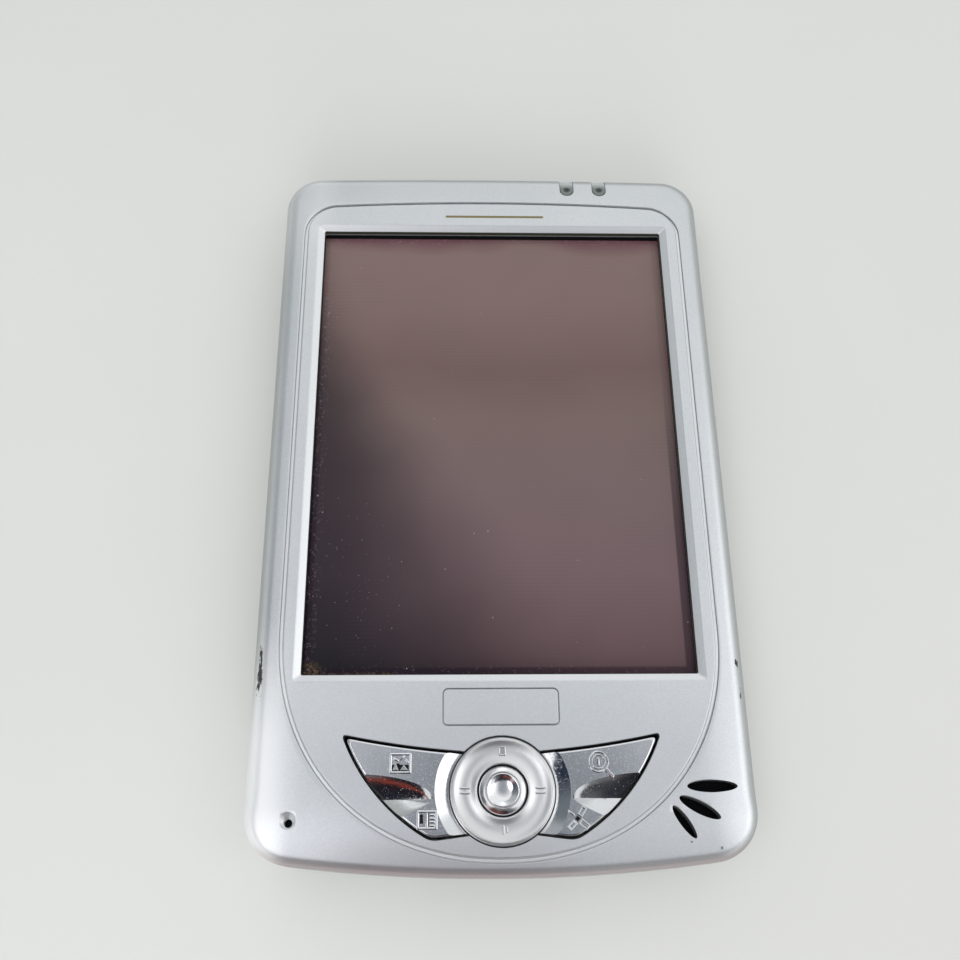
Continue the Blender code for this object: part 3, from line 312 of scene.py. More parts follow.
def sideways(solid, axis, at):
    """Stand a solid built along Z so that its Z runs along X or Y, from a given place."""
    points, faces = solid
    if axis == "X":
        return [(at + z, x, y) for x, y, z in points], faces
    return [(x, at + z, y) for x, y, z in points], faces


def join(*solids):
    points, faces = [], []
    for more_points, more_faces in solids:
        start = len(points)
        points += more_points
        faces += [tuple(i + start for i in face) for face in more_faces]
    return points, faces


def mirror_solid(solid):
    return [(-x, y, z) for x, y, z in solid[0]], solid[1]


def mesh_object(name, solid):
    mesh = bpy.data.meshes.new(name)
    mesh.from_pydata([Vector(p) * MM for p in solid[0]], [], solid[1])
    bm = bmesh.new()
    bm.from_mesh(mesh)
    bmesh.ops.recalc_face_normals(bm, faces=bm.faces)
    bm.to_mesh(mesh)
    bm.free()
    obj = bpy.data.objects.new(name, mesh)
    bpy.context.scene.collection.objects.link(obj)
    return obj


def piece(name, solid, body, slot, cuts=(), replaces=(), sharp=32):
    """A finished piece: cuts applied, smooth shading, and riding on its body."""
    obj = mesh_object(name, solid)
    cutters = []
    for number, shape in enumerate(cuts):
        cutter = mesh_object(f"{name}_tool_{number}", shape)
        modifier = obj.modifiers.new(f"tool_{number}", "BOOLEAN")
        modifier.operation, modifier.solver, modifier.object = "DIFFERENCE", "EXACT", cutter
        cutters.append(cutter)
    if cutters:
        bpy.context.view_layer.update()
        cut = obj.evaluated_get(bpy.context.evaluated_depsgraph_get())
        mesh = bpy.data.meshes.new_from_object(cut)
        obj.modifiers.clear()
        obj.data = mesh
        for cutter in cutters:
            bpy.data.objects.remove(cutter)
    obj.data.shade_smooth()
    obj.data.set_sharp_from_angle(angle=radians(sharp))
    normals = obj.modifiers.new("face_weights", "WEIGHTED_NORMAL")
    normals.keep_sharp, normals.weight = True, 60
    obj.data.materials.clear()
    obj.data.materials.append(MATERIALS[slot])
    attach(obj, body)
    if replaces:
        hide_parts(*replaces)


# ---- node graphs

class Graph:
    """Short calls for building a node tree. Object coordinates come in millimetres."""

    def __init__(self, tree):
        self.tree = tree

    def node(self, kind, inputs=None, **settings):
        made = self.tree.nodes.new("ShaderNode" + kind)
        for key, value in settings.items():
            setattr(made, key, value)
        for key, value in (inputs or {}).items():
            self.feed(made.inputs[key], value)
        return made

    def feed(self, socket, value):
        if isinstance(value, bpy.types.NodeSocket):
            self.tree.links.new(value, socket)
        elif socket.type == "RGBA" and len(value) == 3:
            socket.default_value = (*value, 1)
        else:
            socket.default_value = value

    def math(self, operation, a, b=0, clamp=False):
        made = self.node("Math", {0: a, 1: b}, operation=operation)
        made.use_clamp = clamp
        return made.outputs[0]

    def plus(self, a, b, clamp=False):
        return self.math("ADD", a, b, clamp)

    def minus(self, a, b):
        return self.math("SUBTRACT", a, b)

    def times(self, first, *others):
        for other in others:
            first = self.math("MULTIPLY", first, other)
        return first

    def vector(self, operation, a, b=(0, 0, 0)):
        made = self.node("VectorMath", {0: a, 1: b}, operation=operation)
        return made.outputs["Value" if operation in ("LENGTH", "DOT_PRODUCT") else "Vector"]

    def remap(self, value, low, high, to_low=0, to_high=1, soft=True):
        kind = "SMOOTHSTEP" if soft else "LINEAR"
        return self.node("MapRange",
                         {"Value": value, "From Min": low, "From Max": high, "To Min": to_low,
                          "To Max": to_high}, interpolation_type=kind).outputs["Result"]

    def mix(self, factor, a, b, blend="MIX"):
        made = self.node("Mix", {0: factor, 6: a, 7: b}, data_type="RGBA", blend_type=blend)
        return made.outputs[2]

    def noise(self, scale, detail=2, rough=0.5, vector=None):
        """Cloudy noise, over object space unless another vector is given."""
        inputs = {"Vector": self.mm if vector is None else vector, "Scale": scale,
                  "Detail": detail, "Roughness": rough}
        return self.node("TexNoise", inputs).outputs["Fac"]

    def ramp(self, value, *stops):
        made = self.node("ValToRGB", {0: value})
        elements = made.color_ramp.elements
        while len(elements) < len(stops):
            elements.new(0.5)
        for element, (position, colour) in zip(elements, stops):
            element.position, element.color = position, (*colour, 1)
        return made.outputs[0]

    def split(self, vector):
        return self.node("SeparateXYZ", {0: vector}).outputs


class Finish(Graph):
    """One material: a Principled shader fed from object space."""

    def __init__(self, name, **constants):
        self.material = bpy.data.materials.new(name)
        self.material.use_nodes = True
        super().__init__(self.material.node_tree)
        self.shader = self.tree.nodes["Principled BSDF"]
        place = self.node("TexCoord").outputs["Object"]
        self.mm = self.vector("SCALE", place)
        self.mm.node.inputs["Scale"].default_value = 1000
        for key, value in constants.items():
            self.set(key.replace("_", " ").title().replace("Ior", "IOR"), value)

    def set(self, socket, value):
        self.feed(self.shader.inputs[socket], value)
        return self

    def bump(self, height, depth, strength=1):
        """Relief: a height from 0 to 1 stands for depth millimetres."""
        made = self.node("Bump", {"Height": height, "Distance": depth * MM, "Strength": strength})
        return self.set("Normal", made.outputs[0])

    def voronoi(self, scale):
        return self.node("TexVoronoi", {"Vector": self.mm, "Scale": scale}).outputs

    def spot(self, centre, size, edge=0.6):
        """A soft mask that is 1 in the middle of an ellipsoid and 0 outside it."""
        away = self.vector("DIVIDE", self.vector("SUBTRACT", self.mm, centre), size)
        return self.remap(self.vector("LENGTH", away), 1, edge)

    def any(self, *masks):
        total = masks[0]
        for mask in masks[1:]:
            total = self.math("MAXIMUM", total, mask)
        return total


# ---- materials

def metallic_paint(name, dark, light, roughness, marks=(), key_shade_and_slope_highlight=False):
    """Fine metal-flake lacquer with painted light laid in by place: a painted highlight pales the
    lower left and upper left, painted shade greys the rim, a painted dark reflection greys the
    bottom edge and a pink painted reflection lies on it. marks are (centre, size, strength) of
    scuffed places; key_shade_and_slope_highlight greys the face near the keys with painted shade
    and lightens the slopes just under it with a painted highlight."""
    m = Finish(name, coat_weight=0.25, coat_roughness=0.22)
    flakes = m.node("SeparateColor", {0: m.voronoi(8)["Color"]}).outputs[0]
    grain = m.noise(3.5, 3, 0.6)
    cloud = m.noise(0.045, 3)
    tone = m.plus(m.times(flakes, 0.28), m.times(grain, 0.3))
    tone = m.plus(tone, m.times(cloud, 0.45), clamp=True)
    colour = m.mix(tone, dark, light)
    x, y, z = m.split(m.mm)
    # Painted highlight: the lower left and upper left are laid in paler; the lower left is also less
    # metallic and less greyed at grazing angles.
    low_left_highlight = m.times(m.remap(x, -28, -33), m.remap(y, -20, -40))
    facing = m.node("LayerWeight", {"Blend": 0.5}).outputs["Facing"]
    facing = m.times(m.remap(facing, 0.12, 0.85, 0, 0.62), m.minus(1, m.times(low_left_highlight, 0.85)))
    colour = m.mix(facing, colour, (0.20, 0.215, 0.215))
    high_left_highlight = m.times(m.remap(x, -24, -31), m.remap(y, 30, 50, 0, 0.4))
    painted_highlight = m.plus(m.times(low_left_highlight, 0.85), high_left_highlight)
    colour = m.mix(painted_highlight, colour, (0.96, 0.97, 0.985))
    # Painted shade: the face is greyed near the keys.
    if key_shade_and_slope_highlight:
        colour = m.mix(m.remap(y, -30, -44, 0, 0.2), colour, (0.42, 0.43, 0.46))
    side = m.remap(z, 9.5, 11)
    # Painted shade: the side below the rounding is greyed, fading towards the top and bottom ends.
    rim = m.times(m.remap(z, 13.2, 12.3), side, m.remap(y, -46, -20, 0.05),
                  m.remap(y, 50, 15, 0.3), 0.7)
    colour = m.mix(rim, colour, (0.38, 0.40, 0.39))
    # Painted reflection: the bottom edge is greyed, most near its middle, for a dark shape it
    # mirrors.
    middle = m.remap(m.math("ABSOLUTE", m.plus(x, 8)), 23, 7)
    foot = m.times(m.remap(y, -48.5, -55), middle, side, 0.42)
    colour = m.mix(foot, colour, (0.38, 0.34, 0.37))
    # Painted reflection: a pink tint on the bottom edge.
    pink_reflection = m.times(m.remap(z, 13.6, 13), m.remap(y, -50.5, -54, 0, 0.42))
    colour = m.mix(m.times(pink_reflection, side), colour, (0.46, 0.31, 0.32))
    # Painted highlight: the slopes just under the face are laid in paler.
    if key_shade_and_slope_highlight:
        colour = m.mix(m.remap(z, 14.085, 13.98, 0, 0.4), colour, (0.95, 0.96, 0.97))
    rough = m.plus(roughness - 0.03, m.times(grain, 0.06))
    metal = m.minus(0.8, m.times(low_left_highlight, 0.45))
    if marks:
        streaks = m.vector("MULTIPLY", m.mm, (1, 0.35, 1))
        torn = m.times(m.minus(m.noise(2.4, 5, 0.8, streaks), 0.5), 2.6)
        masks = []
        for centre, size, strength in marks:
            mask = m.times(m.spot(centre, size, 0), strength)
            masks.append(m.remap(m.plus(mask, torn), 0.42, 0.56))
        near = m.any(*(m.spot(centre, size, 0.8) for centre, size, _ in marks))
        worn = m.times(m.any(*masks), near)
        colour = m.mix(worn, colour, (0.025, 0.024, 0.03))
        rough = m.plus(rough, m.times(worn, 0.25))
        metal = m.times(m.minus(1, worn), metal)
    m.set("Base Color", colour).set("Roughness", rough).set("Metallic", metal)
    m.bump(m.plus(flakes, grain), 0.002, 0.5)
    return m.material


def plated(name, colour, roughness, speckle, right_highlight=0):
    """Chrome plating with faint handling haze and fine pits; right_highlight is a painted highlight
    that lightens its right side.
    """
    m = Finish(name, metallic=1)
    haze = m.noise(0.6, 4, 0.6)
    pits = m.remap(m.noise(4.2, 3, 0.7), 0.56, 0.72)
    shade = tuple(c * 0.86 for c in colour)
    # Painted highlight: the right side is laid in lighter.
    if right_highlight:
        haze = m.mix(right_highlight, haze, m.remap(m.split(m.mm)[0], -6, 6))
    m.set("Base Color", m.mix(haze, shade, colour))
    dust = m.voronoi(2.6)["Distance"]
    patchy = m.remap(m.noise(0.7), 0.45, 0.6)
    hollow = m.remap(m.split(m.mm)[2], 14.24, 14.1, 0.1, 0.6)
    m.set("Metallic", m.minus(1, m.times(m.remap(dust, 0.17, 0.1), m.times(patchy, hollow))))
    m.set("Roughness", m.plus(roughness, m.times(haze, 0.06)))
    m.bump(pits, 0.006, speckle)
    return m.material


def moulded(name, colour, roughness, grain=0.012, scale=3, metallic=0, shine=0.5):
    """Plain moulded material with a fine surface grain and a little tone change."""
    m = Finish(name, metallic=metallic, specular_ior_level=shine)
    fine = m.noise(scale, 4, 0.6)
    wide = m.noise(0.12, 3)
    light = tuple(min(1, c * 1.18) for c in colour)
    dark = tuple(c * 0.84 for c in colour)
    m.set("Base Color", m.mix(m.plus(m.times(fine, 0.4), m.times(wide, 0.6)), dark, light))
    m.set("Roughness", m.plus(roughness - 0.05, m.times(fine, 0.1)))
    m.bump(fine, grain, 0.7)
    return m.material


def screen_glass():
    """The touch panel over an unlit display: a brown cast, partly the display's own tint and partly a
    painted reflection, that deepens downwards, dim at the left and lit to the right; faint rows, a
    dark border, and dust and dirt on the surface."""
    m = Finish("dark_glass", ior=1.5, specular_ior_level=0.16)
    x, y, _ = m.split(m.mm)
    drift = m.times(m.minus(m.noise(0.045), 0.5), 9)
    # Painted reflection: lit and dim tones by height, split by a slanting soft edge.
    height = m.remap(m.plus(y, drift), -30, 44, soft=False)
    lit_reflection = m.ramp(height, (0, (0.105, 0.062, 0.071)), (0.1, (0.135, 0.085, 0.094)),
                 (0.22, (0.165, 0.110, 0.122)), (0.40, (0.176, 0.124, 0.126)),
                 (0.55, (0.176, 0.124, 0.118)), (0.68, (0.160, 0.106, 0.102)),
                 (0.85, (0.205, 0.142, 0.134)), (0.97, (0.215, 0.150, 0.142)),
                 (1, (0.165, 0.085, 0.096)))
    dim_reflection = m.ramp(height, (0, (0.010, 0.009, 0.014)), (0.2, (0.034, 0.024, 0.032)),
                 (0.5, (0.042, 0.030, 0.036)), (1, (0.06, 0.042, 0.044)))
    below = m.minus(5, y)
    wide = m.any(m.plus(11, m.times(below, 0.35)), 8)
    along = m.plus(m.plus(x, 17), m.times(below, -0.45))
    side = m.remap(m.math("DIVIDE", m.plus(along, drift), wide), -1, 1)
    colour = m.mix(side, dim_reflection, lit_reflection)
    rows = m.math("SINE", m.times(y, 2 * pi / 0.62))
    uneven = m.remap(m.noise(0.08), 0.4, 0.7)
    rows = m.times(m.plus(rows, 1), m.times(uneven, 0.05))
    colour = m.mix(rows, colour, (0.06, 0.04, 0.045))
    inside_x = m.remap(m.math("ABSOLUTE", m.plus(x, 0.2)), 27, 26.7)
    inside_y = m.remap(m.math("ABSOLUTE", m.minus(y, 8)), 36.6, 36.2)
    border = m.minus(1, m.times(inside_x, inside_y))
    border = m.times(border, m.remap(y, 22, -12, 0.1, 0.6))
    colour = m.mix(border, colour, (0.016, 0.006, 0.016))
    speck = m.remap(m.voronoi(0.42)["Distance"], 0.05, 0.028)
    speck = m.times(speck, m.remap(m.noise(0.16), 0.50, 0.62))
    fine = m.voronoi(1.3)["Distance"]
    edge = m.any(m.remap(x, -25.6, -27.4), m.remap(y, 42.6, 43.6),
                 m.times(m.remap(y, -27.5, -29.5), 0.6))
    near = m.times(m.spot((-22, -16, 12), (11, 18, 9), 0.2), 0.5)
    crowd = m.times(m.any(edge, near), m.remap(m.noise(0.7, 3), 0.38, 0.58))
    speck = m.any(speck, m.times(m.remap(fine, 0.12, 0.06), crowd))
    fluff = m.times(edge, m.remap(m.noise(1.8, 5, 0.8), 0.54, 0.68))
    colour = m.mix(m.times(fluff, 0.55), colour, (0.26, 0.20, 0.25))
    corner = m.spot((-27.4, -29.3, 12), (3.2, 2.4, 9), 0.1)
    foot = m.spot((-19, -29.5, 12), (11, 0.6, 9), 0.3)
    dirt = m.times(m.any(corner, m.times(foot, 0.6)), m.remap(m.noise(2.2, 4, 0.7), 0.42, 0.62))
    colour = m.mix(dirt, colour, (0.20, 0.13, 0.06))
    colour = m.mix(m.times(speck, 0.7), colour, (0.5, 0.48, 0.46))
    rough = m.any(m.times(m.any(speck, dirt), 0.7), 0.07)
    m.set("Base Color", colour).set("Roughness", rough)
    m.bump(m.noise(0.05), 0.02, 0.3)
    return m.material


def smoke_lens():
    """Clear grey indicator lens: a painted highlight at its top, dark round the lamp below it."""
    m = Finish("smoke_lens", ior=1.49)
    lamps = m.any(*(m.spot((x, 52.95, 13), (0.85, 0.75, 3), 0.45) for x in LENS_X))
    # Painted highlight: paler towards the top.
    top = m.remap(m.split(m.mm)[1], 53.2, 54.6)
    colour = m.mix(top, (0.17, 0.20, 0.19), (0.52, 0.55, 0.55))
    colour = m.mix(lamps, colour, (0.016, 0.024, 0.020))
    haze = m.noise(3, 3)
    m.set("Base Color", colour)
    m.set("Roughness", m.plus(0.08, m.times(haze, 0.1)))
    return m.material


def speaker_cloth():
    """Black woven screen behind the slots."""
    m = Finish("black_foam", specular_ior_level=0.06)
    x, y, _ = m.split(m.mm)
    weave = m.times(m.math("SINE", m.times(x, 14)), m.math("SINE", m.times(y, 14)))
    fleck = m.remap(m.noise(5, 4, 0.8), 0.64, 0.74)
    colour = m.mix(m.remap(weave, -1, 1, soft=False), (0.002, 0.002, 0.003), (0.006, 0.006, 0.007))
    m.set("Base Color", m.mix(m.times(fleck, 0.35), colour, (0.12, 0.12, 0.13)))
    m.set("Roughness", m.plus(0.55, m.times(fleck, 0.2)))
    m.bump(weave, 0.05)
    return m.material


def floor_finish():
    """Smooth off-white table top with barely visible clouds, and painted shade that greys it at the
    near corners and far to the lower right."""
    m = Finish("table_top", ior=1.45)
    cloud = m.noise(0.009, 4, 0.55)
    fine = m.noise(0.9, 3)
    colour = m.mix(cloud, (0.70, 0.71, 0.695), (0.765, 0.77, 0.75))
    x, y, _ = m.split(m.mm)
    # Painted shade: greyer far to the lower right, and at the near corners.
    away = m.remap(m.minus(x, y), 20, 260)
    colour = m.mix(m.times(away, 0.5), colour, (0.56, 0.545, 0.525))
    corner_shade = m.times(m.remap(y, -70, -120), m.remap(m.math("ABSOLUTE", x), 18, 60, 0, 0.4))
    colour = m.mix(corner_shade, colour, (0.58, 0.57, 0.545))
    m.set("Base Color", colour)
    m.set("Roughness", m.plus(0.42, m.times(fine, 0.08)))
    m.bump(fine, 0.01, 0.3)
    return m.material


SCUFFS = (
    ((-33.6, -29.2, 13), (0.8, 6.6, 1.5), 0.90),
    ((33.5, -28.2, 13.1), (0.6, 1.6, 1.2), 0.70),
    ((33.6, -32.5, 13), (0.4, 3, 1), 0.55),
    ((29.2, 47.2, 14), (1.3, 0.9, 1), 0.75),
    ((28.9, -53, 13.9), (0.8, 1, 1), 0.60),
    ((25, -52.2, 14), (0.3, 0.3, 1), 0.80),
)
# What moulded() is given: colour, roughness, and where it differs, grain, its scale and so on.
MOULDED = {
    "lcd": ((0.10, 0.07, 0.075), 0.3),
    "white_plastic": ((0.82, 0.82, 0.79), 0.4),
    "steel": ((0.56, 0.56, 0.57), 0.32, 0.006, 5, 1),
    "board": ((0.03, 0.17, 0.075), 0.45),
    "chip": ((0.028, 0.028, 0.032), 0.5),
    "battery_wrap": ((0.07, 0.11, 0.19), 0.4),
    "black_plastic": ((0.011, 0.011, 0.012), 0.42, 0.012, 3, 0, 0.12),
    "grey_plastic": ((0.27, 0.28, 0.30), 0.45),
    "amber_film": ((0.45, 0.22, 0.05), 0.35),
    "silicone": ((0.56, 0.58, 0.56), 0.6),
    "infrared_lens": ((0.045, 0.006, 0.012), 0.12, 0.001),
    "label": ((0.66, 0.67, 0.67), 0.55, 0.004, 6),
    "window_rim": ((0.034, 0.038, 0.026), 0.5),
    "print": ((0.20, 0.17, 0.07), 0.5, 0.003, 6),
}
MATERIALS = {
    "silver_paint": metallic_paint("silver_paint", (0.56, 0.585, 0.61), (0.80, 0.82, 0.84), 0.36,
                                   SCUFFS),
    "plate_paint": metallic_paint("plate_paint", (0.57, 0.595, 0.62), (0.81, 0.83, 0.85), 0.38,
                                  key_shade_and_slope_highlight=True),
    "back_paint": metallic_paint("back_paint", (0.50, 0.52, 0.545), (0.70, 0.72, 0.74), 0.42),
    "chrome": plated("chrome", (0.80, 0.81, 0.83), 0.06, 0.55),
    # The ring's plating takes a painted highlight on its right side.
    "satin_chrome": plated("satin_chrome", (0.82, 0.82, 0.82), 0.33, 0.2, 0.6),
    "soft_chrome": plated("soft_chrome", (0.96, 0.96, 0.97), 0.13, 0.3),
    "black_foam": speaker_cloth(),
    "dark_glass": screen_glass(),
    "smoke_lens": smoke_lens(),
    **{name: moulded(name, *look) for name, look in MOULDED.items()},
}


# ---- case

def on_ray(outline, directions, centre):
    """Where rays from a point inside cross a closed outline."""
    start = np.array(outline) - centre
    step = np.roll(start, -1, axis=0) - start
    found = []
    for ux, uy in directions:
        turn = ux * step[:, 1] - uy * step[:, 0]
        turn[np.abs(turn) < 1e-12] = 1e-12
        share = (start[:, 0] * uy - start[:, 1] * ux) / turn
        reach = (start[:, 0] * step[:, 1] - start[:, 1] * step[:, 0]) / turn
        good = (share > -1e-6) & (share < 1 + 1e-6) & (reach > 0)
        found.append(reach[good].max() * np.array((ux, uy)) + centre)
    return np.array(found)


def edge_distance(points, outline):
    """How far each point lies from a closed outline."""
    start = np.array(outline)
    step = np.roll(start, -1, axis=0) - start
    length = (step ** 2).sum(axis=1)
    away = points[:, None, :] - start[None]
    share = np.clip((away * step[None]).sum(axis=2) / length, 0, 1)
    return np.sqrt(((away - share[..., None] * step[None]) ** 2).sum(axis=2)).min(axis=1)


def rounded_drop(points, rim):
    """How far the crowned and rounded front lies below the face; tighter along the bottom."""
    inside = edge_distance(points, rim)
    low = np.clip((-45.0 - points[:, 1]) / 8.0, 0, 1)
    radius = FRONT_ROUND - (FRONT_ROUND - LOW_ROUND) * low ** 2 * (3 - 2 * low)
    short = np.clip(radius - inside, 0, radius)
    crown = CROWN_DROP * np.clip(1 - inside / CROWN_WIDTH, 0, 1) ** 2
    return radius - np.sqrt(radius ** 2 - short ** 2) + crown


def front_shell_solid():
    """The frame round the face plate: wall, rounded edge, and the slope down to the groove."""
    centre = np.array((0.0, -3.0))
    rim = np.array(case_outline(0))
    directions = (rim - centre) / np.linalg.norm(rim - centre, axis=1)[:, None]
    groove = on_ray(plate_outline(0, 0), directions, centre)
    inner = on_ray(case_outline(WALL), directions, centre)
    outward = (rim - groove) / np.linalg.norm(rim - groove, axis=1)[:, None]
    rings = []

    def add(points, z):
        heights = np.broadcast_to(z, len(points))
        rings.append(np.column_stack([points, heights]))

    add(inner, SEAM_HIGH)
    for inset, z in ((0.3, SEAM_HIGH), (0.08, SEAM_HIGH + 0.07), (0, SEAM_HIGH + 0.25),
                     (0, 9)):
        add(on_ray(case_outline(inset), directions, centre) if inset else rim, z)
    lip = groove + outward * GROOVE_ROUND
    count = 28
    for step in range(count + 1):
        spot = rim + (lip - rim) * (step / count) ** 1.9
        add(spot, FACE_Z - rounded_drop(spot, rim))
    lip_z = FACE_Z - rounded_drop(lip, rim)
    for angle in (25, 50, 75, 90):
        a = radians(angle)
        add(groove + outward * GROOVE_ROUND * (1 - sin(a)), lip_z - GROOVE_ROUND * (1 - cos(a)))
    add(groove, CEILING)
    add(inner, CEILING)
    return loft(rings, closed=True)


def wall_slot(centre, size, radius, axis, at, depth):
    """A cutter with a rounded section through a side wall."""
    points = rounded_rectangle(centre, size, radius, 4)
    return sideways(prism(points, 0, depth), axis, at)


def build_front_shell():
    cuts = [flared(petal_outline(*petal), 11.5, FACE_Z, 0.14) for petal in PETALS]
    for x in LENS_X:
        slot = rounded_rectangle((x, LENS_Y + 1.5), LENS_SLOT, LENS_SLOT[0] / 2 - 0.05, 10)
        cuts.append(flared(slot, LENS_SEAT, FACE_Z, 0.12))
    x, y = MICROPHONE
    dimple = smooth([(0.5, 13.55), (0.75, 13.72), (1.05, 13.95), (1.3, 14.09), (1.45, 14.15)])
    cuts.append(turned([(0.3, 13.3), *dimple, (1.5, 15.5)], (x - 0.18, y + 0.22), 48))
    cuts.append(turned([(0.55, 11.5), (0.55, 15)], (x, y), 32))
    cuts += [wall_slot(*opening) for opening in (INFRARED_SLOT, POWER_SLOT, RECORD_SLOT)]
    piece("front_shell_skin", front_shell_solid(), "casing", "silver_paint", cuts,
          replaces=["front_shell"])


def window_cutter():
    """The display window with its slope, mitred at the corners."""
    rings = []
    for out, z in ((0, 10), (0, FACE_Z - SLOPE_DROP - 0.08), (0.07, FACE_Z - SLOPE_DROP),
                   (SLOPE_WIDTH - 0.12, FACE_Z - 0.05), (SLOPE_WIDTH, FACE_Z - 0.01),
                   (SLOPE_WIDTH + 0.08, FACE_Z + 0.01), (SLOPE_WIDTH + 0.08, 15.5)):
        size = (WINDOW_SIZE[0] + 2 * out, WINDOW_SIZE[1] + 2 * out)
        rings.append(ring(rounded_rectangle((0, WINDOW_Y), size, 0.25 + 0.2 * out, 4), z))
    return loft(rings)


def build_face_plate():
    rings = [ring(plate_outline(0.03, 0.03), z) for z in (PLATE_LOW, LEDGE_Z - 0.14)]
    rings += [ring(plate_outline(-SEAM, -SEAM), z) for z in (LEDGE_Z - 0.14, LEDGE_Z - LEDGE_ROUND)]
    for inset, drop in rounding(LEDGE_ROUND, 3)[1:]:
        rings.append(ring(plate_outline(-(SEAM + inset), -(SEAM + inset)), LEDGE_Z - drop))
    rings.append(ring(plate_outline(0.08 - LEDGE, 0.08 - LEDGE_TOP), LEDGE_Z))
    for inset, drop in rounding(PLATE_EDGE, 6):
        rings.append(ring(plate_outline(-LEDGE - inset, -LEDGE_TOP - inset), FACE_Z - drop))
    pocket = key_outline(0, 0)
    recess = rounded_rectangle(NAME_PLATE[0], [s + 2 * NAME_GAP for s in NAME_PLATE[1]], 0.75)
    cuts = [window_cutter(), flared(recess, FACE_Z - NAME_RECESS, FACE_Z, 0.08),
            flared(pocket, 10.5, FACE_Z, 0.1), flared(mirrored(pocket), 10.5, FACE_Z, 0.1),
            flared(circle((0, NAV_Y), NAV_WELL_SHOWN, 120), 10, FACE_Z, 0.1)]
    piece("face_plate_skin", loft(rings), "casing", "plate_paint", cuts, replaces=["face_plate"])
    # Painted shade: black sheets line the key pockets' walls so the shadowed gaps read black.
    half_shade_liner = band(pocket, key_outline(0.1, 0.03), PLATE_LOW, FACE_Z - 0.17)
    shade_liner = join(half_shade_liner, mirror_solid(half_shade_liner))
    around_ring = turned([(7.6, 10), (7.6, 15)], (0, NAV_Y), 96)
    piece("key_well_shade_liners", shade_liner, "casing", "black_plastic", [around_ring])
    # Painted shade: a dark band covers the window's wall where the opening is in shade.
    rim = [rounded_rectangle((0, WINDOW_Y), [s + grow for s in WINDOW_SIZE], 0.25, 4)
           for grow in (0.06, -0.08)]
    piece("window_liner", band(*rim, 12.95, FACE_Z - SLOPE_DROP - 0.04), "casing", "window_rim")
    plate = rounded_rectangle(*NAME_PLATE, 0.6, 10)
    piece("name_plate_skin", pebble(plate, FACE_Z - NAME_RECESS + 0.1, FACE_Z + 0.06, 0.12),
          "casing", "plate_paint", replaces=["name_plate"])
    mark = rounded_rectangle((0.3, 47.2), (16.4, 0.42), 0.2)
    piece("printed_rule", pebble(mark, FACE_Z - 0.05, FACE_Z + 0.015, 0.01, 2), "casing", "print")


def build_back_cover():
    rings = []
    for height, inset in rounding(BACK_ROUND, 16):
        rings.append(ring(case_outline(BACK_INSET + inset), height))
    outside, inside = LIP_INSET
    for inset, z in ((BACK_INSET, SEAM_LOW - 0.2), (BACK_INSET + 0.06, SEAM_LOW - 0.05),
                     (BACK_INSET + 0.25, SEAM_LOW), (outside, SEAM_LOW), (outside, LIP_TOP),
                     (inside, LIP_TOP), (inside, HOLLOW_Z)):
        rings.append(ring(case_outline(inset), z))
    for step in range(1, 7):
        a = radians(15 * step)
        rings.append(ring(case_outline(inside + HOLLOW_ROUND * (1 - cos(a))),
                          HOLLOW_Z - HOLLOW_ROUND * sin(a)))
    jack = turned_y([(2.3, 52.8), (2.3, 58)], 11.8, 4.6, 40)
    stylus_bore = turned_y([(2.55, 52), (2.55, 58)], 29.8, 4.55, 48)
    label_recess = prism(rounded_rectangle((0, 4), (31, 25), 1.4), -1, 0.5)
    reset_hole = turned([(0.7, -1), (0.7, 3)], (-24, -40), 24)
    cuts = [wall_slot(*CARD_SLOT), jack, stylus_bore, wall_slot(*CONNECTOR_SLOT), label_recess,
            reset_hole]
    cuts += [turned([(1.75, -1), (1.75, 1.38)], spot, 32) for spot in SCREWS]
    piece("back_cover_skin", loft(rings), "casing", "back_paint", cuts, replaces=["back_cover"])


# ---- keys and ring

SCOOP_TIP, SCOOP_LENGTH, SCOOP_Y, SCOOP_END = 9.4, 11, -46.45, 15
SCOOP_UPPER, SCOOP_LOWER, SCOOP_DEPTH = 3.27, 0.83, 1.5


def scoop_cutter():
    """A valley that opens outwards: a hollow upper wall, a crease, and a flatter lower wall."""
    rings = []
    for step in range(33):
        out = 0.02 + SCOOP_END * (step / 32) ** 1.6
        share = min(out / SCOOP_LENGTH, 1)
        swell = sqrt(1 - (1 - share) ** 2)
        upper, lower, depth = SCOOP_UPPER * swell, SCOOP_LOWER * out ** 0.73, SCOOP_DEPTH * swell
        x = SCOOP_TIP + out
        section = [(x, SCOOP_Y + upper, KEY_TOP + 1)]
        for i in range(15):
            w = i / 14
            fall = 0.7 * w + 0.3 * (1 - (1 - w) ** 2)
            section.append((x, SCOOP_Y + upper * (1 - w), KEY_TOP - depth * fall))
        for i in range(1, 9):
            w = i / 8
            section.append((x, SCOOP_Y - lower * w, KEY_TOP - depth * (1 - w) ** 1.15))
        section.append((x, SCOOP_Y - lower, KEY_TOP + 1))
        rings.append(section)
    return loft(rings)


def slope_cutter():
    """The key's hollow slope down towards the ring."""
    profile = smooth([(7, 13.32), (7.6, 13.55), (8.2, 13.81), (8.7, 14.04), (9.05, 14.21),
                      (9.3, 14.34)])
    return turned([(0.1, 13.32), *profile, (9.3, 15.5), (0.1, 15.5)], (0, NAV_Y), 240)


def right_key_solid():
    rings = [ring(key_outline(KEY_CLEARANCE, KEY_RING_GAP), KEY_LOW)]
    for inset, drop in rounding(KEY_EDGE, 6):
        rings.append(ring(key_outline(KEY_CLEARANCE + inset, KEY_RING_GAP + inset * 0.6),
                          KEY_TOP - drop))
    return loft(rings)


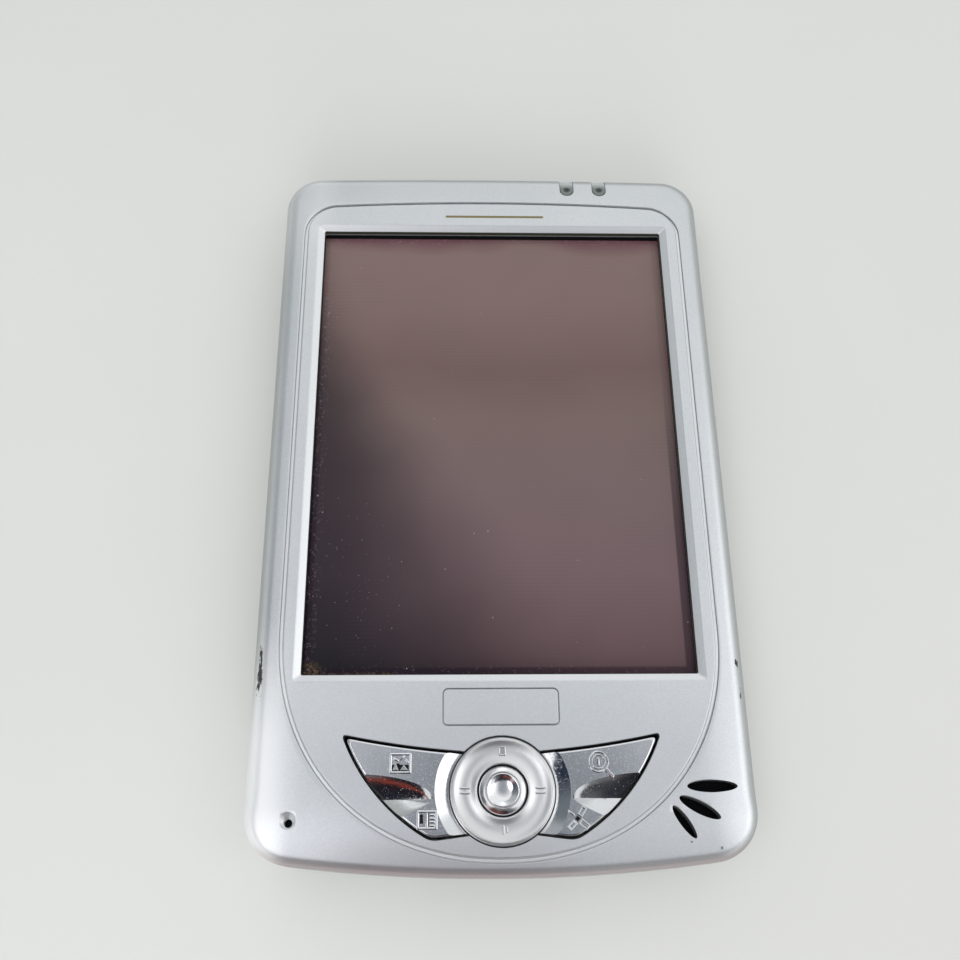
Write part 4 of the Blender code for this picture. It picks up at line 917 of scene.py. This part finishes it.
ICON_LOW, ICON_HIGH, LINE = KEY_TOP - 0.05, KEY_TOP + 0.15, 0.32
ICON_EDGE, ICON_DROP = 0.12, 0.08
TOOLS_ICON = (9.9, -49.1)


def raised(points, low=ICON_LOW, high=ICON_HIGH):
    """A raised shape with sloping edges."""
    return loft([ring(points, low), ring(points, high - ICON_DROP),
                 ring(offset(points, -ICON_EDGE), high)])


def raised_band(outer, inner, low=ICON_LOW, high=ICON_HIGH):
    """A raised frame with sloping edges."""
    return loft([ring(outer, low), ring(outer, high - ICON_DROP),
                 ring(offset(outer, -ICON_EDGE), high), ring(offset(inner, ICON_EDGE), high),
                 ring(inner, high - ICON_DROP), ring(inner, low)], True)


def stroke(start, end, width=LINE):
    """A raised straight line."""
    a, b = Vector(start), Vector(end)
    along = (b - a).normalized()
    side = Vector((-along.y, along.x)) * width / 2
    cap = along * width * 0.3
    points = [a - side, b - side, b - side * 0.5 + cap, b + side * 0.5 + cap, b + side, a + side,
              a + side * 0.5 - cap, a - side * 0.5 - cap]
    return raised([tuple(p) for p in points])


def strokes(x, y, *lines):
    """Raised lines near (x, y), each given by the offsets of its two ends and maybe its width."""
    return join(*(stroke((x + a, y + b), (x + c, y + d), *width) for a, b, c, d, *width in lines))


def frame_mark(centre, size, width=LINE):
    outer = rounded_rectangle(centre, size, 0.12, 3)
    inner = rounded_rectangle(centre, [s - 2 * width for s in size], 0.06, 3)
    return raised_band(outer, inner)


def hoop_mark(centre, radius, width=LINE):
    return raised_band(circle(centre, radius, 40), circle(centre, radius - width, 40))


def picture_icon(x, y):
    """A framed landscape: two hills and a cloud."""
    hill = raised([(x - 1.1, y - 0.95), (x - 0.2, y - 0.95), (x - 0.65, y + 0.1)])
    second = raised([(x - 0.05, y - 0.95), (x + 1.1, y - 0.95), (x + 0.45, y - 0.15)])
    cloud = strokes(x, y, (-1, 0.65, -0.3, 0.35), (-0.1, 0.5, 0.5, 0.95), (0.7, 0.5, 1.05, 0.1))
    return join(frame_mark((x, y), (2.98, 2.72)), hill, second, cloud)


def card_icon(x, y):
    """An open card with lines on its right half."""
    lines = [(0.3, d, 0.95, d, 0.27) for d in (-0.7, -0.25, 0.2, 0.65)]
    return join(frame_mark((x, y), (2.77, 2.45)), strokes(x, y, (-0.05, -0.9, -0.05, 0.9), *lines))


def left_key_ink():
    """Dark fill: under the hills of the picture, and the card's figure and spine."""
    high = KEY_TOP + 0.03
    hills = rounded_rectangle((-13.76, -42.5), (2.3, 0.95), 0.05, 2)
    shade = [(-14.6, -42.1), (-14.1, -41.8), (-13.6, -42.1)]
    spine = rounded_rectangle((-9.95, -49.17), (0.2, 1.9), 0.05, 2)
    figure = [(-11.1, -49.6), (-10.6, -49.6), (-10.66, -48.85), (-11.04, -48.85)]
    head = circle((-10.85, -48.66), 0.24, 16)
    return join(*(prism(shape, ICON_LOW, high) for shape in (hills, shade, spine, figure, head)))


def open_bar(start, end, width, line=0.26):
    """The raised outline of a bar."""
    a, b = Vector(start), Vector(end)
    along = (b - a).normalized()
    side = Vector((-along.y, along.x)) * width / 2
    outer = [a - side, b - side, b + side, a + side]
    inward = [(along + side.normalized()) * line, (side.normalized() - along) * line,
              (-along - side.normalized()) * line, (along - side.normalized()) * line]
    inner = [spot + step for spot, step in zip(outer, inward)]
    return raised_band([tuple(p) for p in outer], [tuple(p) for p in inner])


def magnifier_icon(x, y):
    return join(hoop_mark((x, y), 1.45, 0.26), hoop_mark((x, y), 1, 0.2),
                strokes(x, y, (1, -1, 1.85, -1.95, 0.55), (0, -0.45, 0, 0.45, 0.34)))


def tools_icon(x, y):
    """Two crossed tools."""
    return join(strokes(x, y, (-1.25, 1, -0.45, 0.4, 0.26)),
                open_bar((x + 0.25, y - 0.3), (x + 1.4, y - 1.2), 0.9),
                open_bar((x + 0.2, y + 0.3), (x + 0.95, y + 1.45), 0.8),
                open_bar((x - 0.3, y - 0.35), (x - 1.2, y - 1.25), 0.8))


def right_key_ink():
    """Dark fill where the two tools cross."""
    x, y = TOOLS_ICON
    cross = [(x, y - 0.4), (x + 0.4, y + 0.02), (x - 0.03, y + 0.36), (x - 0.4, y - 0.05)]
    return prism(cross, ICON_LOW, KEY_TOP + 0.05)


def build_keys():
    solid, cuts = right_key_solid(), [slope_cutter(), scoop_cutter()]
    piece("right_key_skin", solid, "right_rocker", "chrome", cuts, replaces=["right_key"], sharp=22)
    piece("left_key_skin", mirror_solid(solid), "left_rocker", "chrome",
          [mirror_solid(cut) for cut in cuts], replaces=["left_key"], sharp=22)
    piece("left_key_ink", left_key_ink(), "left_rocker", "black_plastic")
    piece("left_key_signs", join(picture_icon(-13.76, -41.85), card_icon(-10.1, -49.17)),
          "left_rocker", "chrome")
    piece("right_key_signs", join(magnifier_icon(13, -41.8), tools_icon(*TOOLS_ICON)),
          "right_rocker", "chrome")
    piece("right_key_ink", right_key_ink(), "right_rocker", "black_plastic")


def build_ring():
    crown = smooth([(6.95, 13.9), (6.94, 14.25), (6.86, 14.42), (6.72, 14.5), (6.52, 14.49),
                    (6.3, 14.41), (5.9, 14.27), (5.4, 14.17), (4.9, 14.15), (4.4, 14.21),
                    (4, 14.32), (3.75, 14.4), (3.6, 14.42), (3.5, 14.38), (3.45, 14.25)])
    skirt = [(7.09, 12.1), (7.09, 13.66), (7.06, 13.72), (7, 13.74), (6.95, 13.75)]
    solid = turned([*skirt, *crown, (3.45, 12.1)], (0, NAV_Y), 160, closed=True)
    piece("nav_ring_skin", solid, "nav_pad", "satin_chrome", replaces=["nav_ring"])
    low, high = 14.05, 14.28
    tab = (0, NAV_Y + 5.15)
    signs = [raised_band(rounded_rectangle(tab, (1, 1.25), 0.1, 3),
                         rounded_rectangle(tab, (0.56, 0.8), 0.05, 3), low, high)]
    for side in (-1, 1):
        for shift in (-0.32, 0.32):
            signs.append(raised(rounded_rectangle((side * 5.1, NAV_Y + shift), (1.5, 0.3), 0.1, 3),
                                low, high))
    signs.append(raised(rounded_rectangle((0, NAV_Y - 5), (0.32, 1.2), 0.12, 3), low, high))
    signs.append(raised(rounded_rectangle((0.48, NAV_Y - 5), (0.26, 0.8), 0.09, 3), low, high))
    piece("nav_ring_signs", join(*signs), "nav_pad", "satin_chrome")
    piece("nav_ring_ink", prism(rounded_rectangle(tab, (0.66, 0.9), 0.05, 3), low, 14.2), "nav_pad",
          "grey_plastic")
    dome = smooth([(3.22, 13.7), (3.21, 13.93), (3.14, 14.06), (2.92, 14.19), (2.62, 14.36),
                   (2.42, 14.51), (2.3, 14.67), (2.22, 14.82), (2.12, 14.89), (2, 14.86),
                   (1.8, 14.75), (1.5, 14.59), (1.2, 14.49), (0.8, 14.42), (0.4, 14.39),
                   (0.04, 14.38)])
    piece("select_button_skin", turned([(3.22, 10.9), *dome], (0, NAV_Y), 128), "select",
          "soft_chrome", replaces=["select_button"])


# ---- carried-over CAD parts

NODE_FINISH = {"microphone": "black_plastic"}


def dress_frame():
    """Procedural materials and slightly broken edges for the CAD nodes that stay."""
    for name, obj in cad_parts.items():
        if obj.hide_render:
            continue
        for slot in obj.material_slots:
            finish = NODE_FINISH.get(name, slot.material.name.split(".")[0])
            slot.material = MATERIALS[finish]
        weld = obj.modifiers.new("weld", "WELD")
        weld.merge_threshold = 0.0005 * MM
        bevel = obj.modifiers.new("edges", "BEVEL")
        bevel.width, bevel.segments = 0.08 * MM, 2
        bevel.limit_method, bevel.angle_limit = "ANGLE", radians(35)
        bevel.use_clamp_overlap = True


# ---- stage, light and camera

def build_stage():
    reach = 3000
    sheet = mesh_object("table_top", ([(-reach, -reach, 0), (reach, -reach, 0),
                                       (reach, reach, 0), (-reach, reach, 0)], [(0, 1, 2, 3)]))
    sheet.data.materials.append(floor_finish())


def direction(azimuth, elevation):
    """Unit vector; azimuth 0 is +X, 90 is +Y, in degrees."""
    a, e = radians(azimuth), radians(elevation)
    return (cos(a) * cos(e), sin(a) * cos(e), sin(e))


# What shiny surfaces mirror: azimuth, elevation, outer and inner radius in degrees, colour, strength.
ROOM_SHAPES = (
    (-90, 26, 36, 24, (0.06, 0.05, 0.055), 0.85),
    (-84, 56, 19, 14, (0.012, 0.014, 0.024), 1),
    (-116, 54, 18, 13, (0.012, 0.014, 0.024), 1),
    (-84, 40, 14, 10, (0.012, 0.012, 0.018), 1),
    (-116, 40, 14, 10, (0.012, 0.012, 0.018), 1),
    (-54, 46, 17, 10, (0.03, 0.032, 0.04), 0.9),
    (171, 46, 24, 15, (0.02, 0.03, 0.055), 0.93),
    (-160, 44, 16, 11, (0.02, 0.03, 0.055), 0.97),
    (142, 32, 30, 18, (0.22, 0.25, 0.27), 0.7),
    (59, 83.5, 9, 3, (0.27, 0.29, 0.32), 0.9),
    (-90, 77, 20, 8, (0.24, 0.25, 0.29), 0.8),
    (90, 22, 16, 9, (1.25, 1.25, 1.28), 0.8),
    (106, 36, 14, 8, (0.40, 0.42, 0.41), 0.8),
    (5, 35, 22, 14, (1.6, 1.6, 1.62), 0.9),
)
# The lamps that they mirror too: azimuth, elevation, power.
WINDOW_LAMPS = ((-160, 68, 0.46), (-138, 59, 0.45), (-16, 50, 0.31), (-8, 62, 0.08))
LAMP_DISTANCE, LAMP_SIZE = 0.9, 0.38


def build_world():
    """Even pale light; the plating mirrors a room with darker shapes in it."""
    world = bpy.data.worlds.new("studio")
    world.use_nodes = True
    g = Graph(world.node_tree)
    way = g.node("TexCoord").outputs["Generated"]
    aside, ahead, up = g.split(way)
    room = g.ramp(up, (0, (0.50, 0.53, 0.51)), (0.30, (0.90, 0.92, 0.92)),
                  (0.80, (0.88, 0.90, 0.91)), (0.89, (0.92, 0.94, 0.95)),
                  (0.97, (0.62, 0.64, 0.67)), (1, (0.47, 0.49, 0.53)))
    ripple = g.minus(g.noise(26, 3, 0.7, way), 0.5)
    for azimuth, elevation, outer, inner, tint, strength in ROOM_SHAPES:
        far, close = cos(radians(outer)), cos(radians(inner))
        near = g.plus(g.vector("DOT_PRODUCT", way, direction(azimuth, elevation)),
                      g.times(ripple, close - far))
        room = g.mix(g.times(g.remap(near, far, close), strength), room, tint)
    level = g.plus(up, g.times(ripple, 0.11))
    band = g.times(g.remap(level, 0.585, 0.60), g.remap(level, 0.655, 0.635),
                   g.remap(ahead, -0.3, -0.45), g.remap(aside, 0.12, 0), 0.95)
    room = g.mix(band, room, (0.26, 0.045, 0.03))
    mirrored_ray = g.node("LightPath").outputs["Is Glossy Ray"]
    colour = g.mix(mirrored_ray, (0.675, 0.68, 0.675), room)
    g.feed(world.node_tree.nodes["Background"].inputs["Color"], colour)
    bpy.context.scene.world = world


def area_light(name, place, size, power, tint, mirrored_too=False):
    """A soft round lamp that faces the origin."""
    data = bpy.data.lights.new(name, "AREA")
    data.shape, data.size, data.energy, data.color = "DISK", size, power, tint
    lamp = bpy.data.objects.new(name, data)
    lamp.location = place
    lamp.rotation_mode = "QUATERNION"
    lamp.rotation_quaternion = (-Vector(place)).to_track_quat("-Z", "Y")
    lamp.visible_glossy = mirrored_too
    bpy.context.scene.collection.objects.link(lamp)


def build_camera():
    data = bpy.data.cameras.new("camera")
    data.lens, data.sensor_width, data.clip_start, data.clip_end = 39, 36, 0.01, 20
    camera = bpy.data.objects.new("camera", data)
    bpy.context.scene.collection.objects.link(camera)
    right, up, back = ((0.9996, -0.0100, 0.0263), (-0.0007, 0.9254, 0.3789),
                       (-0.0281, -0.3788, 0.9250))
    turn = Matrix((right, up, back)).transposed()
    camera.matrix_world = Matrix.Translation(Vector((-7, -59.7, 158.7)) * MM) @ turn.to_4x4()
    bpy.context.scene.camera = camera


build_front_shell()
build_face_plate()
build_back_cover()
build_keys()
build_ring()
dress_frame()
build_stage()
build_world()
area_light("ceiling_light", (0, -0.5, 0.8), 0.9, 1.2, (0.98, 1, 0.985))
for number, (azimuth, elevation, power) in enumerate(WINDOW_LAMPS):
    place = Vector(direction(azimuth, elevation)) * LAMP_DISTANCE
    area_light(f"window_{number}", place, LAMP_SIZE, power, (0.99, 0.98, 1), True)
area_light("floor_fill", (0, -0.85, 0.42), 0.5, 2.3, (1, 1, 0.99))
build_camera()
bpy.context.scene.view_settings.view_transform = "Standard"
